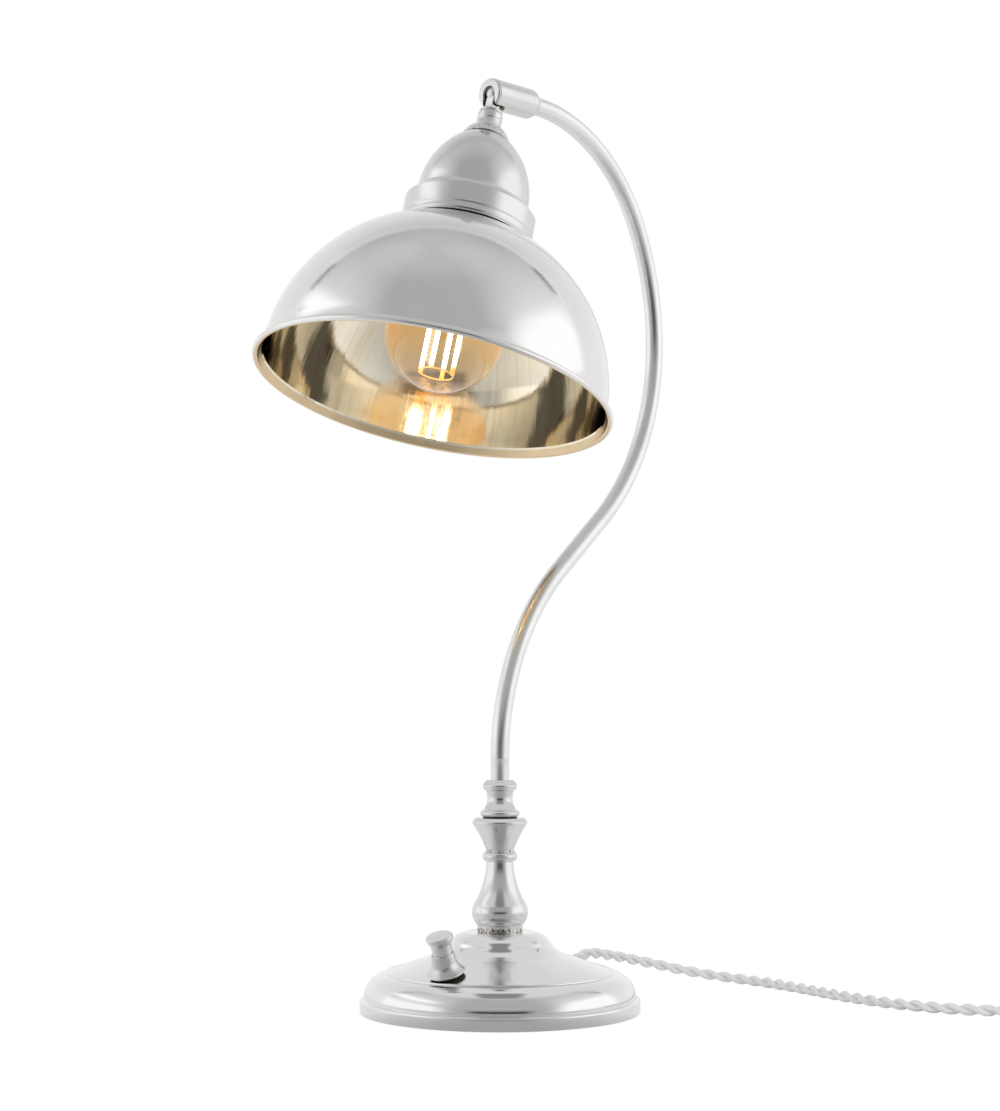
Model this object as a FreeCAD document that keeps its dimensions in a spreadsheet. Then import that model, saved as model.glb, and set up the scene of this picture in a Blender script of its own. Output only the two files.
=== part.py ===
import FreeCAD, Part

import math
import os

import Sketcher

# Desk lamp with a turning arm and a nodding, turning head.
# Origin: centre of the foot's underside on the table. +Z up, the shade leans to -Y,
# the arm bows to +Y, and the arm lies in the plane X = 0. Millimetres and degrees.

V = FreeCAD.Vector

SIZES = {
    # foot
    "foot_radius": 75.0,
    "foot_band_top": 6.2,
    "foot_ledge_width": 2.2,
    "foot_ledge_rise": 2.1,
    "foot_roll_width": 10.8,
    "foot_roll_rise": 12.4,
    "foot_roll_bend": 12.6,
    "foot_bead_width": 4.4,
    "foot_bead_rise": 1.8,
    "foot_slope_width": 22.1,
    "foot_slope_rise": 7.9,
    "foot_cove_width": 8.2,
    "foot_cove_rise": 6.0,
    "foot_cove_bend": 16.5,
    "foot_dome_width": 8.5,
    "foot_dome_rise": 6.2,
    "foot_dome_bend": 11.8,
    "foot_wall": 1.2,
    "foot_ground_gap": 0.4,
    "hole_clearance": 0.1,
    "felt_inset": 2.5,
    "felt_thickness": 1.5,
    "plate_inset": 3.0,
    "plate_thickness": 1.2,
    "plate_screw_ring": 50.0,
    "plate_screw_head": 3.8,
    "plate_screw_shank": 2.0,
    "plate_screw_length": 8.0,
    "weight_inset": 3.8,
    "weight_clearance": 1.3,
    "weight_top_gap": 2.9,
    "weight_boss_radius": 12.0,
    "channel_width": 20.0,
    "channel_height": 12.0,
    "lead_room_width": 8.0,
    "lead_room_height": 5.8,
    # tie tube through the column
    "tie_radius": 5.0,
    "tie_bore": 3.4,
    "thread_gap": 0.05,
    "nut_across_flats": 14.0,
    "nut_thickness": 4.0,
    "nut_room_radius": 14.0,
    "nut_room_height": 10.5,
    "washer_radius": 11.0,
    "washer_thickness": 1.4,
    "lead_radius": 1.5,
    # column
    "vase_foot_radius": 12.2,
    "vase_foot_height": 3.4,
    "vase_belly_radius": 13.9,
    "vase_belly_height": 14.9,
    "vase_belly_bend": 9.7,
    "vase_neck_radius": 7.3,
    "vase_neck_bend": 47.0,
    "vase_height": 37.6,
    "ring_radius": 8.2,
    "ring_bend": 3.0,
    "ring_height": 4.8,
    "cup_stem_radius": 7.6,
    "cup_flare_radius": 14.2,
    "cup_flare_drop": 4.0,
    "cup_flare_bend": 61.0,
    "cup_lip_radius": 14.9,
    "cup_lip_drop": 2.8,
    "cup_top_radius": 13.4,
    "cup_height": 18.2,
    # turning joint under the arm
    "spigot_radius": 5.46,
    "spigot_base_radius": 6.95,
    "spigot_base_depth": 9.2,
    "spigot_height": 12.4,
    "spigot_bore": 3.2,
    "swivel_washer_radius": 9.2,
    "swivel_washer_thickness": 0.8,
    "running_gap": 0.05,
    "stop_clearance": 0.15,
    "stop_groove_depth": 1.4,
    "stop_screw_height": 4.1,
    "stop_screw_radius": 1.45,
    "stop_screw_length": 3.6,
    "stop_screw_bearing": 133.0,
    "collar_bead_radius": 9.8,
    "collar_bead_bend": 1.8,
    "collar_waist_bend": 9.5,
    "collar_top_radius": 7.9,
    "collar_top_bend": 2.7,
    "collar_top_band": 5.55,
    "collar_height": 19.35,
    "spigot_end_gap": 0.45,
    # arm
    "tube_radius": 5.0,
    "tube_wall": 1.0,
    "riser_length": 10.6,
    "low_bend": 137.05,
    "low_angle": 49.57,
    "slant_length": 47.6,
    "bow_low_bend": 139.1,
    "bow_high_bend": 148.4,
    "bow_high_angle": 28.25,
    "crown_bend": 98.24,
    "arm_end_length": 1.6,
    # knuckle
    "ball_radius": 6.8,
    "ball_clearance": 0.08,
    "housing_wall": 1.32,
    "nose_swell": 0.1,
    "housing_body": 27.0,
    "housing_shoulder_length": 4.5,
    "housing_end_wall": 1.0,
    "housing_shoulder_bend": 5.6,
    "socket_depth": 22.0,
    "slot_clearance": 0.6,
    "slot_rise": 1.4,
    "slot_back": 5.5,
    "seat_gap": 0.05,
    "seat_front": 4.2,
    "seat_bore": 2.2,
    "disc_clearance": 0.28,
    "disc_bore": 3.4,
    "disc_thickness": 1.0,
    "disc_rise": 1.1,
    "stem_radius": 2.9,
    "stem_bore": 1.6,
    "head_tilt": 16.0,
    # head: depths are measured down the head's axis from the ball's centre
    "lock_ring_depth": 10.2,
    "lock_ring_radius": 6.4,
    "lock_ring_thickness": 1.6,
    "neck_radius": 6.6,
    "neck_flare_radius": 12.0,
    "neck_flare_bend": 10.5,
    "neck_bottom": 26.9,
    "retainer_radius": 4.4,
    "retainer_top": 16.6,
    "retainer_thickness": 2.4,
    "retainer_clearance": 0.2,
    "nipple_gap": 0.75,
    "nipple_length": 21.0,
    "bell_shoulder_radius": 12.4,
    "bell_radius": 30.4,
    "bell_dome_bend": 45.0,
    "bell_waist_height": 2.6,
    "bell_flare_height": 5.7,
    "bell_flare_bend": 6.4,
    "band_radius": 35.8,
    "band_height": 10.1,
    "bell_lip_height": 4.1,
    "bell_seam": 1.57,
    "bell_wall": 0.8,
    "holder_radius": 19.5,
    "holder_gap": 1.3,
    "holder_cap_height": 14.0,
    "holder_wall": 2.2,
    "holder_flange_radius": 22.5,
    "holder_flange_thickness": 1.2,
    "holder_nose": 8.4,
    "core_head_height": 6.0,
    "core_plug_height": 7.0,
    "screw_clearance": 0.7,
    "screw_shell_wall": 0.4,
    "screw_shell_length": 27.0,
    "shade_seat_depth": 35.6,
    "shade_hole_clearance": 0.5,
    "shade_flat_radius": 24.0,
    "shade_radius": 92.5,
    "shade_wall": 0.9,
    "shade_bead": 1.6,
    "shade_lip_width": 2.7,
    "shade_lip_drop": 3.07,
    "shade_ring_inset": 1.0,
    "shade_ring_height": 6.0,
    "contact_height": 4.3,
    "bulb_cap_radius": 13.2,
    "bulb_cap_length": 26.7,
    "bulb_neck_radius": 13.5,
    "bulb_neck_length": 51.8,
    "bulb_radius": 31.5,
    "bulb_join_radius": 27.0,
    "bulb_neck_bend": 112.5,
    "bulb_wall": 0.8,
    "filament_ring": 9.0,
    "filament_rise": 15.8,
    "filament_length": 38.0,
    "filament_radius": 1.0,
    # switch, on an axis square to the foot's slope
    "switch_inset": 5.6,
    "switch_bearing": -78.7,
    "bezel_overhang": 2.6,
    "bezel_lip": 2.4,
    "bezel_neck_swell": 0.4,
    "bezel_neck_height": 9.0,
    "bezel_flare_bend": 8.6,
    "bezel_rim": 0.65,
    "bezel_height": 12.8,
    "barrel_wall": 1.1,
    "barrel_depth": 7.0,
    "chamber_clearance": 0.3,
    "chamber_top": 4.0,
    "button_overhang": 1.75,
    "button_stem_radius": 5.3,
    "button_rise": 4.8,
    "button_cone_height": 2.9,
    "button_cap_height": 2.1,
    "button_flange_width": 0.7,
    "button_flange_thickness": 1.6,
    "plunger_radius": 2.4,
    "spring_radius": 4.3,
    "spring_wire": 0.45,
    "switch_body_radius": 8.4,
    "switch_body_depth": 9.0,
    "switch_nut_width": 2.6,
    "switch_nut_thickness": 2.6,
    "switch_room_clearance": 1.2,
    # cord outlet, on an axis square to the foot's rolled shoulder
    "outlet_bearing": 101.3,
    "outlet_rise": 30.0,
    "outlet_inset": 1.8,
    "outlet_height": 6.1,
    "bush_flange": 1.2,
    "bush_length": 8.0,
    "bush_wall": 0.9,
    "cord_radius": 3.0,
    "cord_clearance": 0.1,
    "clamp_ring": 48.0,
    "clamp_screw_spread": 6.5,
    "terminal_ring": 30.0,
    "coil_x": 227.6,
    "coil_y": 236.9,
    "coil_inner_radius": 21.0,
    "coil_outer_radius": 45.0,
    "coil_height": 12.2,
    "plug_bearing": 80.0,
    "plug_relief_length": 20.0,
    "plug_length": 32.0,
    "plug_width": 24.0,
    "plug_thickness": 14.0,
    "pin_radius": 2.0,
    "pin_length": 19.0,
    "pin_spacing": 18.6,
}

# The cord's route from inside the foot to the coil: hand-chosen bend points.
CORD_ROUTE = [
    (-8.03, 40.2, 5.76),
    (-10.97, 54.92, 5.76),
    (-15.57, 77.96, 19.32),
    (-17.96, 93.32, 22.3),
    (-17.88, 115.96, 18.3),
    (-12.12, 139.1, 13.0),
    (-0.07, 159.91, 7.2),
    (17.38, 173.45, 4.0),
    (42.97, 176.8, 3.1),
    (78.06, 168.5, 3.1),
    (114.42, 155.91, 3.1),
    (153.84, 150.29, 3.1),
    (191.57, 156.75, 3.1),
    (223.45, 178.28, 3.1),
    (245.5, 196.4, 3.1),
]
TAIL_ROUTE = [
    (264.3, 223.5, 9.1),
    (271.4, 238.6, 7.05),
    (274.3, 254.6, 7.05),
]

document = FreeCAD.newDocument("desk_lamp")
sheet = document.addObject("Spreadsheet::Sheet", "Sizes")
nodes = []


class Size:
    """A length or angle that knows its number and the sheet formula that gives it."""

    def __init__(self, number, formula=None):
        self.number = float(number)
        self.formula = formula or repr(float(number))

    def joined(self, sign, other, rule):
        other = as_size(other)
        return Size(rule(self.number, other.number), f"({self.formula} {sign} {other.formula})")

    def __add__(self, other):
        return self.joined("+", other, lambda a, b: a + b)

    def __sub__(self, other):
        return self.joined("-", other, lambda a, b: a - b)

    def __mul__(self, other):
        return self.joined("*", other, lambda a, b: a * b)

    def __truediv__(self, other):
        return self.joined("/", other, lambda a, b: a / b)

    def __radd__(self, other):
        return as_size(other) + self

    def __rsub__(self, other):
        return as_size(other) - self

    def __rmul__(self, other):
        return as_size(other) * self

    def __neg__(self):
        return Size(0) - self


def as_size(value):
    return value if isinstance(value, Size) else Size(value)


def sine(angle):
    return Size(math.sin(math.radians(angle.number)), f"sin({angle.formula})")


def cosine(angle):
    return Size(math.cos(math.radians(angle.number)), f"cos({angle.formula})")


def slope_angle(rise, run):
    ratio = rise / run
    return Size(math.degrees(math.atan(ratio.number)), f"(atan({ratio.formula}) / 1deg)")


def leg(long_side, short_side):
    """The other leg of a right-angled triangle."""
    square = long_side * long_side - short_side * short_side
    return Size(math.sqrt(square.number), f"sqrt({square.formula})")


class DrivingSizes:
    """The driving dimensions: each is a cell of the sheet under its own alias."""

    def __init__(self, values):
        for row, (alias, value) in enumerate(values.items(), start=1):
            sheet.set(f"A{row}", alias)
            sheet.set(f"B{row}", str(value))
            sheet.setAlias(f"B{row}", alias)
            setattr(self, alias, Size(value, f"Sizes.{alias}"))


size = DrivingSizes(SIZES)
document.recompute()


class Spot:
    """Where a piece stands: a point, and a turn about one axis. `way` is its own +Z."""

    def __init__(self, x=0, y=0, height=0, axis=(0, 0, 1), angle=0, way=None):
        self.point = [as_size(value) for value in (x, y, height)]
        self.axis = [as_size(value) for value in axis]
        self.angle = as_size(angle)
        self.way = way

    def along(self, distance):
        point = [at + distance * part for at, part in zip(self.point, self.way)]
        return Spot(*point, self.axis, self.angle, self.way)

    def placement(self):
        turn = FreeCAD.Rotation(V(*[part.number for part in self.axis]), self.angle.number)
        return FreeCAD.Placement(V(*[part.number for part in self.point]), turn)

    def put(self, thing):
        thing.Placement = self.placement()
        for letter, value in zip("xyz", self.point):
            thing.setExpression(f"Placement.Base.{letter}", value.formula)
        if self.angle.formula != as_size(0).formula:
            thing.setExpression("Placement.Rotation.Angle", self.angle.formula)
            for letter, value in zip("xyz", self.axis):
                thing.setExpression(f"Placement.Rotation.Axis.{letter}", value.formula)
        return thing


HOME = Spot()


def spot_on_ring(radius, bearing):
    """A spot at a distance from the lamp's axis, turned so that its own +X points outwards."""
    return Spot(radius * cosine(bearing), radius * sine(bearing), angle=bearing)


def keep(thing, label):
    """Give a finished piece the name that its file takes."""
    thing.Label = label
    nodes.append(thing)
    return thing


def new_sketch(body, plane, name):
    sketch = body.newObject("Sketcher::SketchObject", name)
    planes = [feature for feature in body.Origin.OriginFeatures if feature.Role == plane]
    sketch.AttachmentSupport = [(planes[0], "")]
    sketch.MapMode = "FlatFace"
    return sketch


def dimension(sketch, kind, value, *where):
    index = sketch.addConstraint(Sketcher.Constraint(kind, *where, as_size(value).number))
    sketch.setExpression(f"Constraints[{index}]", as_size(value).formula)


def arc_between(start, end, bend):
    """The short arc from start to end; a positive bend has its centre on the left."""
    chord = end - start
    left = V(-chord.y, chord.x, 0).normalize()
    side = 1 if bend > 0 else -1
    inward = math.sqrt(max(bend * bend - chord.Length ** 2 / 4, 0))
    centre = start + chord * 0.5 + left * (side * inward)
    return Part.Arc(start, centre - left * (side * abs(bend)), end)


def draw(sketch, corners, closed=True):
    """Join corners (across, up) by lines; a third value makes the arriving edge an arc."""
    corners = [tuple(as_size(value) for value in corner) for corner in corners]
    points = [V(corner[0].number, corner[1].number, 0) for corner in corners]
    steps = len(corners) if closed else len(corners) - 1
    ends = []
    for step in range(steps):
        target = (step + 1) % len(corners)
        start, end = points[step], points[target]
        if len(corners[target]) == 3:
            bend = corners[target][2]
            edge = sketch.addGeometry(arc_between(start, end, bend.number), False)
            ends.append((edge, 1, 2) if bend.number > 0 else (edge, 2, 1))
            dimension(sketch, "Radius", bend if bend.number > 0 else -bend, edge)
        else:
            edge = sketch.addGeometry(Part.LineSegment(start, end), False)
            ends.append((edge, 1, 2))
        if step:
            sketch.addConstraint(
                Sketcher.Constraint("Coincident", ends[-2][0], ends[-2][2], edge, ends[-1][1]))
        dimension(sketch, "DistanceX", corners[step][0], edge, ends[-1][1])
        dimension(sketch, "DistanceY", corners[step][1], edge, ends[-1][1])
    last, first = ends[-1], ends[0]
    if closed:
        sketch.addConstraint(Sketcher.Constraint("Coincident", last[0], last[2], first[0], first[1]))
    else:
        dimension(sketch, "DistanceX", corners[-1][0], last[0], last[2])
        dimension(sketch, "DistanceY", corners[-1][1], last[0], last[2])


def turned(name, corners, spot=HOME):
    """Lathe work: an outline of (radius, height) corners revolved about the piece's axis."""
    body = document.addObject("PartDesign::Body", name)
    sketch = new_sketch(body, "XZ_Plane", f"{name}_outline")
    draw(sketch, corners)
    form = body.newObject("PartDesign::Revolution", f"{name}_form")
    form.Profile = sketch
    form.ReferenceAxis = (sketch, ["V_Axis"])
    form.Angle = 360
    return spot.put(body)


def tube(name, inner, outer, low, high, spot=HOME):
    return turned(name, [(inner, low), (outer, low), (outer, high), (inner, high)], spot)


def plate(name, corners, low, thickness, spot=HOME, hole=None):
    """A flat outline padded upwards from `low`, with a round hole in its middle if wanted."""
    body = document.addObject("PartDesign::Body", name)
    sketch = new_sketch(body, "XY_Plane", f"{name}_outline")
    sketch.setExpression("AttachmentOffset.Base.z", as_size(low).formula)
    draw(sketch, corners)
    if hole is not None:
        edge = sketch.addGeometry(Part.Circle(V(0, 0, 0), V(0, 0, 1), hole.number), False)
        sketch.addConstraint(Sketcher.Constraint("Coincident", edge, 3, -1, 1))
        dimension(sketch, "Radius", hole, edge)
    form = body.newObject("PartDesign::Pad", f"{name}_form")
    form.Profile = sketch
    form.setExpression("Length", as_size(thickness).formula)
    return spot.put(body)


def block(name, left, right, front, back, low, thickness, spot=HOME):
    corners = [(left, front), (right, front), (right, back), (left, back)]
    return plate(name, corners, low, thickness, spot)


def rod(name, radius, length, spot=HOME):
    cylinder = document.addObject("Part::Cylinder", name)
    cylinder.setExpression("Radius", as_size(radius).formula)
    cylinder.setExpression("Height", as_size(length).formula)
    return spot.put(cylinder)


def fused(name, pieces):
    result = document.addObject("Part::MultiFuse", name)
    result.Shapes = pieces
    return result


def cut(name, stock, *tools, spot=HOME):
    result = document.addObject("Part::Cut", name)
    result.Base = stock
    result.Tool = tools[0] if len(tools) == 1 else fused(f"{name}_tools", list(tools))
    return spot.put(result) if spot is not HOME else result


def fasteners(label, template, placements):
    """Identical small pieces: one node that holds a group of separate solids."""
    document.recompute()
    solids = []
    for placement in placements:
        solid = template.Shape.copy()
        solid.Placement = placement.multiply(solid.Placement)
        solids.append(solid)
    group = document.addObject("Part::Feature", label)
    group.Shape = Part.makeCompound(solids)
    return keep(group, label)


def swept(name, corners, radius, start, hole=None):
    """A round bar or pipe swept along a path of (across, up) corners in the plane X = 0."""
    body = document.addObject("PartDesign::Body", name)
    path = new_sketch(body, "YZ_Plane", f"{name}_path")
    draw(path, corners, closed=False)
    section = new_sketch(body, "XY_Plane", f"{name}_section")
    section.setExpression("AttachmentOffset.Base.z", start.formula)
    for width in (radius, hole):
        if width is not None:
            edge = section.addGeometry(Part.Circle(V(0, 0, 0), V(0, 0, 1), width.number), False)
            section.addConstraint(Sketcher.Constraint("Coincident", edge, 3, -1, 1))
            dimension(section, "Radius", width, edge)
    form = body.newObject("PartDesign::AdditivePipe", f"{name}_form")
    form.Profile = section
    form.Spine = path
    return body


def cord_tube(label, route):
    """A round cord of straight runs joined by tangent arcs, with its flat ends."""
    points = [V(*point) for point in route]
    edges = []
    start = points[0]
    for before, corner, after in zip(points, points[1:], points[2:]):
        arrive = (corner - before).normalize()
        leave = (after - corner).normalize()
        half_turn = arrive.getAngle(leave) / 2
        reach = 0.45 * min((corner - before).Length, (after - corner).Length)
        radius = reach / math.tan(half_turn)
        print(f"{label}: bend radius {radius:.1f}, turn {math.degrees(2 * half_turn):.1f}")
        arc_start = corner - arrive * reach
        arc_end = corner + leave * reach
        inward = (leave - arrive).normalize()
        to_middle = radius / math.cos(half_turn) - radius
        edges.append(Part.LineSegment(start, arc_start).toShape())
        edges.append(Part.Arc(arc_start, corner + inward * to_middle, arc_end).toShape())
        start = arc_end
    edges.append(Part.LineSegment(start, points[-1]).toShape())
    wire = Part.Wire(edges)
    section = Part.Wire(Part.Circle(points[0], points[1] - points[0], size.cord_radius.number).toShape())
    solid = wire.makePipeShell([section], True, False)
    expected = math.pi * size.cord_radius.number ** 2 * wire.Length
    if abs(solid.Volume / expected - 1) > 0.01:
        raise RuntimeError(f"{label} is not a clean tube")
    print(f"{label}: length {wire.Length:.0f}, volume ratio {solid.Volume / expected:.4f}")
    cord = document.addObject("Part::Feature", label)
    cord.Shape = solid
    return keep(cord, label)


# The foot's outline, from its rim inwards and upwards.
foot_step_radius = size.foot_radius - size.foot_ledge_width
foot_step_height = size.foot_band_top + size.foot_ledge_rise
foot_roll_radius = foot_step_radius - size.foot_roll_width
foot_roll_height = foot_step_height + size.foot_roll_rise
foot_crease_radius = foot_roll_radius - size.foot_bead_width
foot_crease_height = foot_roll_height + size.foot_bead_rise
foot_slope_radius = foot_crease_radius - size.foot_slope_width
foot_slope_height = foot_crease_height + size.foot_slope_rise
foot_crown_radius = foot_slope_radius - size.foot_cove_width
foot_crown_height = foot_slope_height + size.foot_cove_rise
foot_top_radius = foot_crown_radius - size.foot_dome_width
foot_top_height = foot_crown_height + size.foot_dome_rise

# Heights that several pieces share.
tie_hole = size.tie_radius + size.thread_gap
plate_low = size.felt_thickness
plate_high = plate_low + size.plate_thickness
nut_room_top = plate_high + size.nut_room_height
vase_low = foot_top_height
ring_low = vase_low + size.vase_height
cup_low = ring_low + size.ring_height
cup_high = cup_low + size.cup_height
collar_low = cup_high + size.swivel_washer_thickness + size.running_gap
collar_high = collar_low + size.collar_height
spigot_top = cup_high + size.spigot_height
collar_bore_top = spigot_top + size.spigot_end_gap
riser_top = collar_high + size.riser_length

# The knuckle: the ball sets the housing's bore, and the housing the arm's straight end.
housing_bore = size.ball_radius + size.ball_clearance
housing_radius = housing_bore + size.housing_wall
housing_length = size.housing_body + size.housing_shoulder_length
arm_reach = housing_length + size.arm_end_length
stem_end = size.retainer_top + size.retainer_thickness

# Depths down the head's axis, from the ball to the lamp.
nipple_top = stem_end + size.nipple_gap
nipple_bottom = nipple_top + size.nipple_length
head_nut_bottom = size.neck_bottom + size.bell_wall + size.nut_thickness
holder_top = head_nut_bottom + size.holder_gap
holder_split = holder_top + size.holder_cap_height
core_step = holder_split + size.core_head_height
core_bottom = core_step + size.core_plug_height
bulb_tip_depth = core_bottom + size.contact_height
bulb_cap_bottom = bulb_tip_depth + size.bulb_cap_length
bulb_centre = bulb_cap_bottom + size.bulb_neck_length
shade_top = holder_split + size.shade_seat_depth
shade_centre = shade_top + leg(size.shade_radius, size.shade_flat_radius)
bell_mouth = size.band_radius - 1.4
bell_bottom = shade_centre - leg(size.shade_radius, bell_mouth) - size.bell_seam
band_bottom = bell_bottom - size.bell_lip_height
band_top = band_bottom - size.band_height
bell_straight_depth = band_top - size.bell_flare_height
bell_dome_depth = bell_straight_depth - size.bell_waist_height
screw_shell_bore = size.bulb_cap_radius + size.screw_clearance

# The switch, from its button outwards and upwards.
button_bore = size.button_stem_radius + size.running_gap
button_flange_radius = size.button_stem_radius + size.button_flange_width
chamber_radius = button_flange_radius + size.chamber_clearance
barrel_radius = chamber_radius + size.barrel_wall
bezel_top_radius = button_bore + size.bezel_rim
switch_nut_radius = barrel_radius + size.switch_nut_width
switch_ring = foot_crease_radius - size.switch_inset

# The cord's outlet, from the cord outwards.
cord_bore = size.cord_radius + size.cord_clearance
bush_barrel_radius = cord_bore + size.bush_wall

# The arm's line in the plane X = 0: riser, lower bend, slant, two-part bow, crown.
low_out = size.low_bend * (1 - cosine(size.low_angle))
low_up = riser_top + size.low_bend * sine(size.low_angle)
slant_out = low_out + size.slant_length * sine(size.low_angle)
slant_up = low_up + size.slant_length * cosine(size.low_angle)
bow_out = slant_out + size.bow_low_bend * (1 - cosine(size.low_angle))
bow_up = slant_up + size.bow_low_bend * sine(size.low_angle)
high_out = bow_out - size.bow_high_bend * (1 - cosine(size.bow_high_angle))
high_up = bow_up + size.bow_high_bend * sine(size.bow_high_angle)
crown_out = high_out - size.crown_bend * cosine(size.bow_high_angle)
crown_up = high_up + size.crown_bend * (1 - sine(size.bow_high_angle))
ball_out = crown_out - arm_reach


def leaning_spot(radius, height, bearing, lean):
    """A spot on the foot whose own +Z leans outwards from the vertical."""
    axis = (-sine(bearing), cosine(bearing), 0)
    way = (sine(lean) * cosine(bearing), sine(lean) * sine(bearing), cosine(lean))
    return Spot(radius * cosine(bearing), radius * sine(bearing), height, axis, lean, way)


slope_drop = foot_slope_height - foot_crease_height
slope_run = foot_crease_radius - foot_slope_radius
switch_height = foot_slope_height - (switch_ring - foot_slope_radius) * slope_drop / slope_run
SWITCH = leaning_spot(switch_ring, switch_height, size.switch_bearing,
                      slope_angle(slope_drop, slope_run))
OUTLET = leaning_spot(foot_step_radius - size.outlet_inset, foot_step_height + size.outlet_height,
                      size.outlet_bearing, 90 - size.outlet_rise)
CHANNEL = Spot(angle=size.outlet_bearing)
# The knuckle's own +Z points out of its nose; the head's own -Z points down its axis.
KNUCKLE = Spot(0, ball_out, crown_up, (1, 0, 0), 90)
HEAD = Spot(0, ball_out, crown_up, (1, 0, 0), -size.head_tilt)


def foot_shell():
    """Spun sheet-metal foot with a straight band, a rolled shoulder and a raised crown."""
    wall = size.foot_wall
    form = turned("foot_form", [
        (tie_hole, foot_top_height - wall),
        (foot_top_radius, foot_top_height - wall),
        (foot_crown_radius - 0.71 * wall, foot_crown_height - 0.71 * wall, -(size.foot_dome_bend - wall)),
        (foot_slope_radius - 0.33 * wall, foot_slope_height - 0.94 * wall, size.foot_cove_bend + wall),
        (foot_crease_radius - 0.33 * wall, foot_crease_height - 0.94 * wall),
        (foot_roll_radius - 0.2 * wall, foot_roll_height - wall),
        (foot_step_radius - wall, foot_step_height, -(size.foot_roll_bend - wall)),
        (size.foot_radius - wall, size.foot_band_top - wall),
        (size.foot_radius - wall, size.foot_ground_gap),
        (size.foot_radius, size.foot_ground_gap),
        (size.foot_radius, size.foot_band_top),
        (size.foot_radius - 0.9, size.foot_band_top + 1.2, 1.4),
        (foot_step_radius, foot_step_height - 0.5),
        (foot_step_radius, foot_step_height),
        (foot_roll_radius, foot_roll_height, size.foot_roll_bend),
        (foot_crease_radius, foot_crease_height),
        (foot_slope_radius, foot_slope_height),
        (foot_crown_radius, foot_crown_height, -size.foot_cove_bend),
        (foot_top_radius, foot_top_height, size.foot_dome_bend),
        (tie_hole, foot_top_height),
    ])
    depth = 8 * wall
    gap = size.hole_clearance
    switch_hole = rod("switch_hole", barrel_radius + gap, 2 * depth, SWITCH.along(-depth))
    outlet_hole = rod("outlet_hole", bush_barrel_radius + gap, 2 * depth, OUTLET.along(-depth))
    keep(cut("foot_shell", form, switch_hole, outlet_hole), "foot_shell")


def foot_filling():
    """Iron weight with its nut room, switch room and cord channel; plate, screws and felt."""
    boss = size.weight_boss_radius
    rim = foot_step_radius - size.weight_inset
    under = size.foot_wall + size.weight_clearance
    top = foot_crown_height - size.weight_top_gap
    ingot = turned("weight_form", [
        (tie_hole, nut_room_top),
        (size.nut_room_radius, nut_room_top),
        (size.nut_room_radius, plate_high),
        (rim, plate_high),
        (rim, foot_step_height),
        (foot_roll_radius - under, foot_roll_height - under),
        (foot_crease_radius - under, foot_crease_height - under),
        (foot_slope_radius - under / 2, foot_slope_height - under),
        (foot_crown_radius - under, top),
        (boss, top),
        (boss, foot_top_height - size.foot_wall),
        (tie_hole, foot_top_height - size.foot_wall),
    ])
    depth = foot_top_height
    switch_room_radius = switch_nut_radius + size.switch_room_clearance
    switch_room = rod("switch_room", switch_room_radius, 2 * depth, SWITCH.along(-depth))
    side = size.channel_width / 2
    room_low = plate_high - 0.5
    cord_room = block("cord_room", size.nut_room_radius + 2, size.foot_radius, -side, side, room_low,
                      size.channel_height, CHANNEL)
    lead_side = size.lead_room_width / 2
    lead_room = block("lead_room", -switch_ring - size.bezel_overhang, size.nut_room_radius, -lead_side,
                      lead_side, room_low, size.lead_room_height, CHANNEL)
    screw_spots = [spot_on_ring(size.plate_screw_ring, as_size(bearing)) for bearing in (-20, 60, 200)]
    threads = []
    heads = []
    for number, spot in enumerate(screw_spots):
        length = plate_high + size.plate_screw_length
        threads.append(rod(f"thread_{number}", size.plate_screw_shank + size.thread_gap, length, spot))
        heads.append(rod(f"sink_{number}", size.plate_screw_head + 0.1, plate_high + 1, spot))
    keep(cut("foot_weight", ingot, switch_room, cord_room, lead_room, *threads), "foot_weight")

    disc = tube("plate_form", 0, size.foot_radius - size.plate_inset, plate_low, plate_high)
    keep(cut("bottom_plate", disc, *heads), "bottom_plate")
    screw = turned("plate_screw", [
        (0, plate_low + 0.1),
        (size.plate_screw_head, plate_low + 0.1),
        (size.plate_screw_head, plate_high - 0.02),
        (size.plate_screw_shank, plate_high - 0.02),
        (size.plate_screw_shank, plate_high + size.plate_screw_length - 0.5),
        (0, plate_high + size.plate_screw_length - 0.5),
    ])
    fasteners("plate_screws", screw, [spot.placement() for spot in screw_spots])
    keep(tube("felt_pad", 0, size.foot_radius - size.felt_inset, 0, size.felt_thickness), "felt_pad")


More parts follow.
